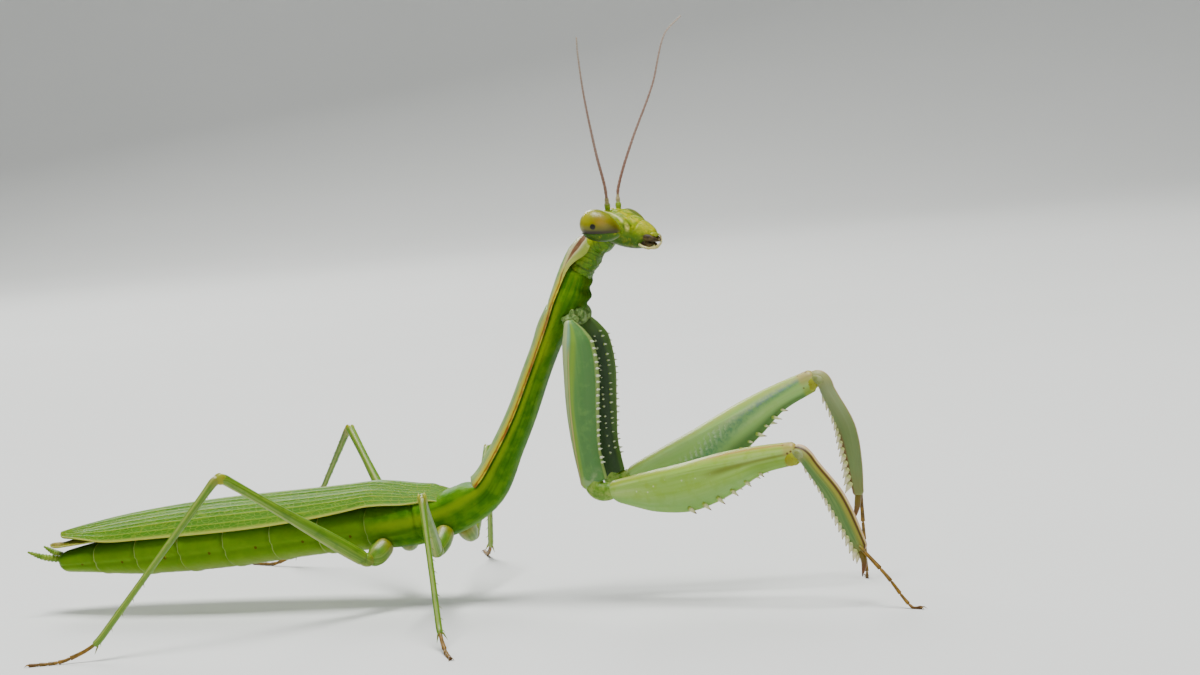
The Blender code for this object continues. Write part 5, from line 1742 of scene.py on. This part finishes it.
def wing(root_x, tip_x, outer, inner, side, lift, fall, step_up, veins, pleats, thick):
    """A plate over the back.

    Across, the share s runs from the outer edge to the inner one, which may cross the middle line.
    The top stands the lift over the back and falls by the given height times a power of the distance
    from the middle, over the roof's width. Veins are bells of s, each with a bow along the wing;
    pleats are a sine of s, and step_up raises the edge that lies on the other wing.
    """
    length = root_x - tip_x
    d = spread(0.0, length, 170, (0.6, 2.2))
    f = d / length
    fade = np.where(f < 0.8, 1.0, np.sqrt(np.clip(1 - ((f - 0.8) / 0.2) ** 2, 0, 1)) * 0.88 + 0.12)
    edge, cross = smooth(outer, f)[:, 0] * fade, smooth(inner, f)[:, 0] * fade
    s = np.linspace(0, 1, 80)[None]
    out = edge[:, None] * (1 - s) - cross[:, None] * s
    x = (root_x - d)[:, None] + 0 * s
    back = np.interp(-x, -trunk_x, trunk_back)
    over = step_up * step(out, 1.0, 0.1)
    ridge = np.zeros(out.shape)
    for at, bow, height in veins:
        ridge += height * bump(s, at + bow * f[:, None] * (1 - f[:, None]), VEIN_WIDTH)
    body = step(np.minimum(s, 1 - s), 0, 0.05)
    relief = ridge + pleats * np.sin(2 * np.pi * PLEATS * s) * body
    top = back + lift(x) + over - fall * np.abs(out / ROOF_WIDTH) ** ROOF_POWER + relief * body
    under = top - relief * body * 0.6 - 0.03 - thick * body

    def there_and_back(over, under):
        return np.concatenate([over, under[:, ::-1]], 1)

    grid = stacked(there_and_back(x, x), there_and_back(out, out) * side, there_and_back(top, under))
    return tube(grid, ring_places(d, there_and_back(s, s), there_and_back(ridge, ridge) / VEIN_HEIGHT))


print("the back is %.1f to %.1f mm high under the wings" % (trunk_back.min(), trunk_back.max()))

# %% [markdown]
# ### The four wings
# The hind wings lie flat on the back, with fine pleats where they are folded. The tegmina lie over
# them, narrow at the root and widest half way. Each crosses the middle line, the right one on top.

# %% Build the wings
# A long vein's share across, its bow, and its height
VEINS = ((0.1, 0.05, 0.04), (0.2, 0.12, 0.055), (0.27, 0.16, 0.035), (0.38, 0.1, 0.045), (0.5, 0.05, 0.04),
         (0.6, 0.0, 0.035), (0.7, -0.08, 0.04), (0.8, -0.12, 0.03), (0.9, -0.12, 0.03))
# Share of a wing's length: distance of the outer edge from the middle, and of the inner one past it
HIND_OUTER, HIND_INNER = ((0, 1.4), (0.2, 2.2), (0.6, 2.45), (1, 1.9)), ((0, -0.02), (1, -0.02))
FORE_OUTER = ((0, 1.7), (0.12, 2.5), (0.5, 3.25), (0.85, 2.8), (1, 2.0))
FORE_INNER = ((0, -0.6), (0.1, 0.2), (0.3, 1.0), (0.8, 1.1), (1, 0.6))


def hindwing_lift(x):
    """A hind wing lies on its bed along its whole length."""
    return BED + SOLID_WING + 0 * x


def tegmen_lift(x):
    """The tegmen's root is sunk in the thorax; from there it climbs on to the hind wing."""
    return -0.35 + 0.75 * step(x, -0.9, -3.0) + 0.92 * step(x, -2.6, -8.0)


for word, side in SIDES.items():
    hind = wing(-5.8, -35.4, HIND_OUTER, HIND_INNER, side, hindwing_lift, 1.2, 0.0, (), 0.03, 0.12)
    make("hindwing_skin_" + word, [hind], HINDWING_SKIN, ["hindwing_" + word])
    fore = wing(-0.9, -34.4, FORE_OUTER, FORE_INNER, side, tegmen_lift, 1.9,
                0.24 if side == RIGHT else 0.0, VEINS, 0.0, 0.16)
    make("tegmen_skin_" + word, [fore], TEGMEN_SKIN, ["tegmen_" + word])
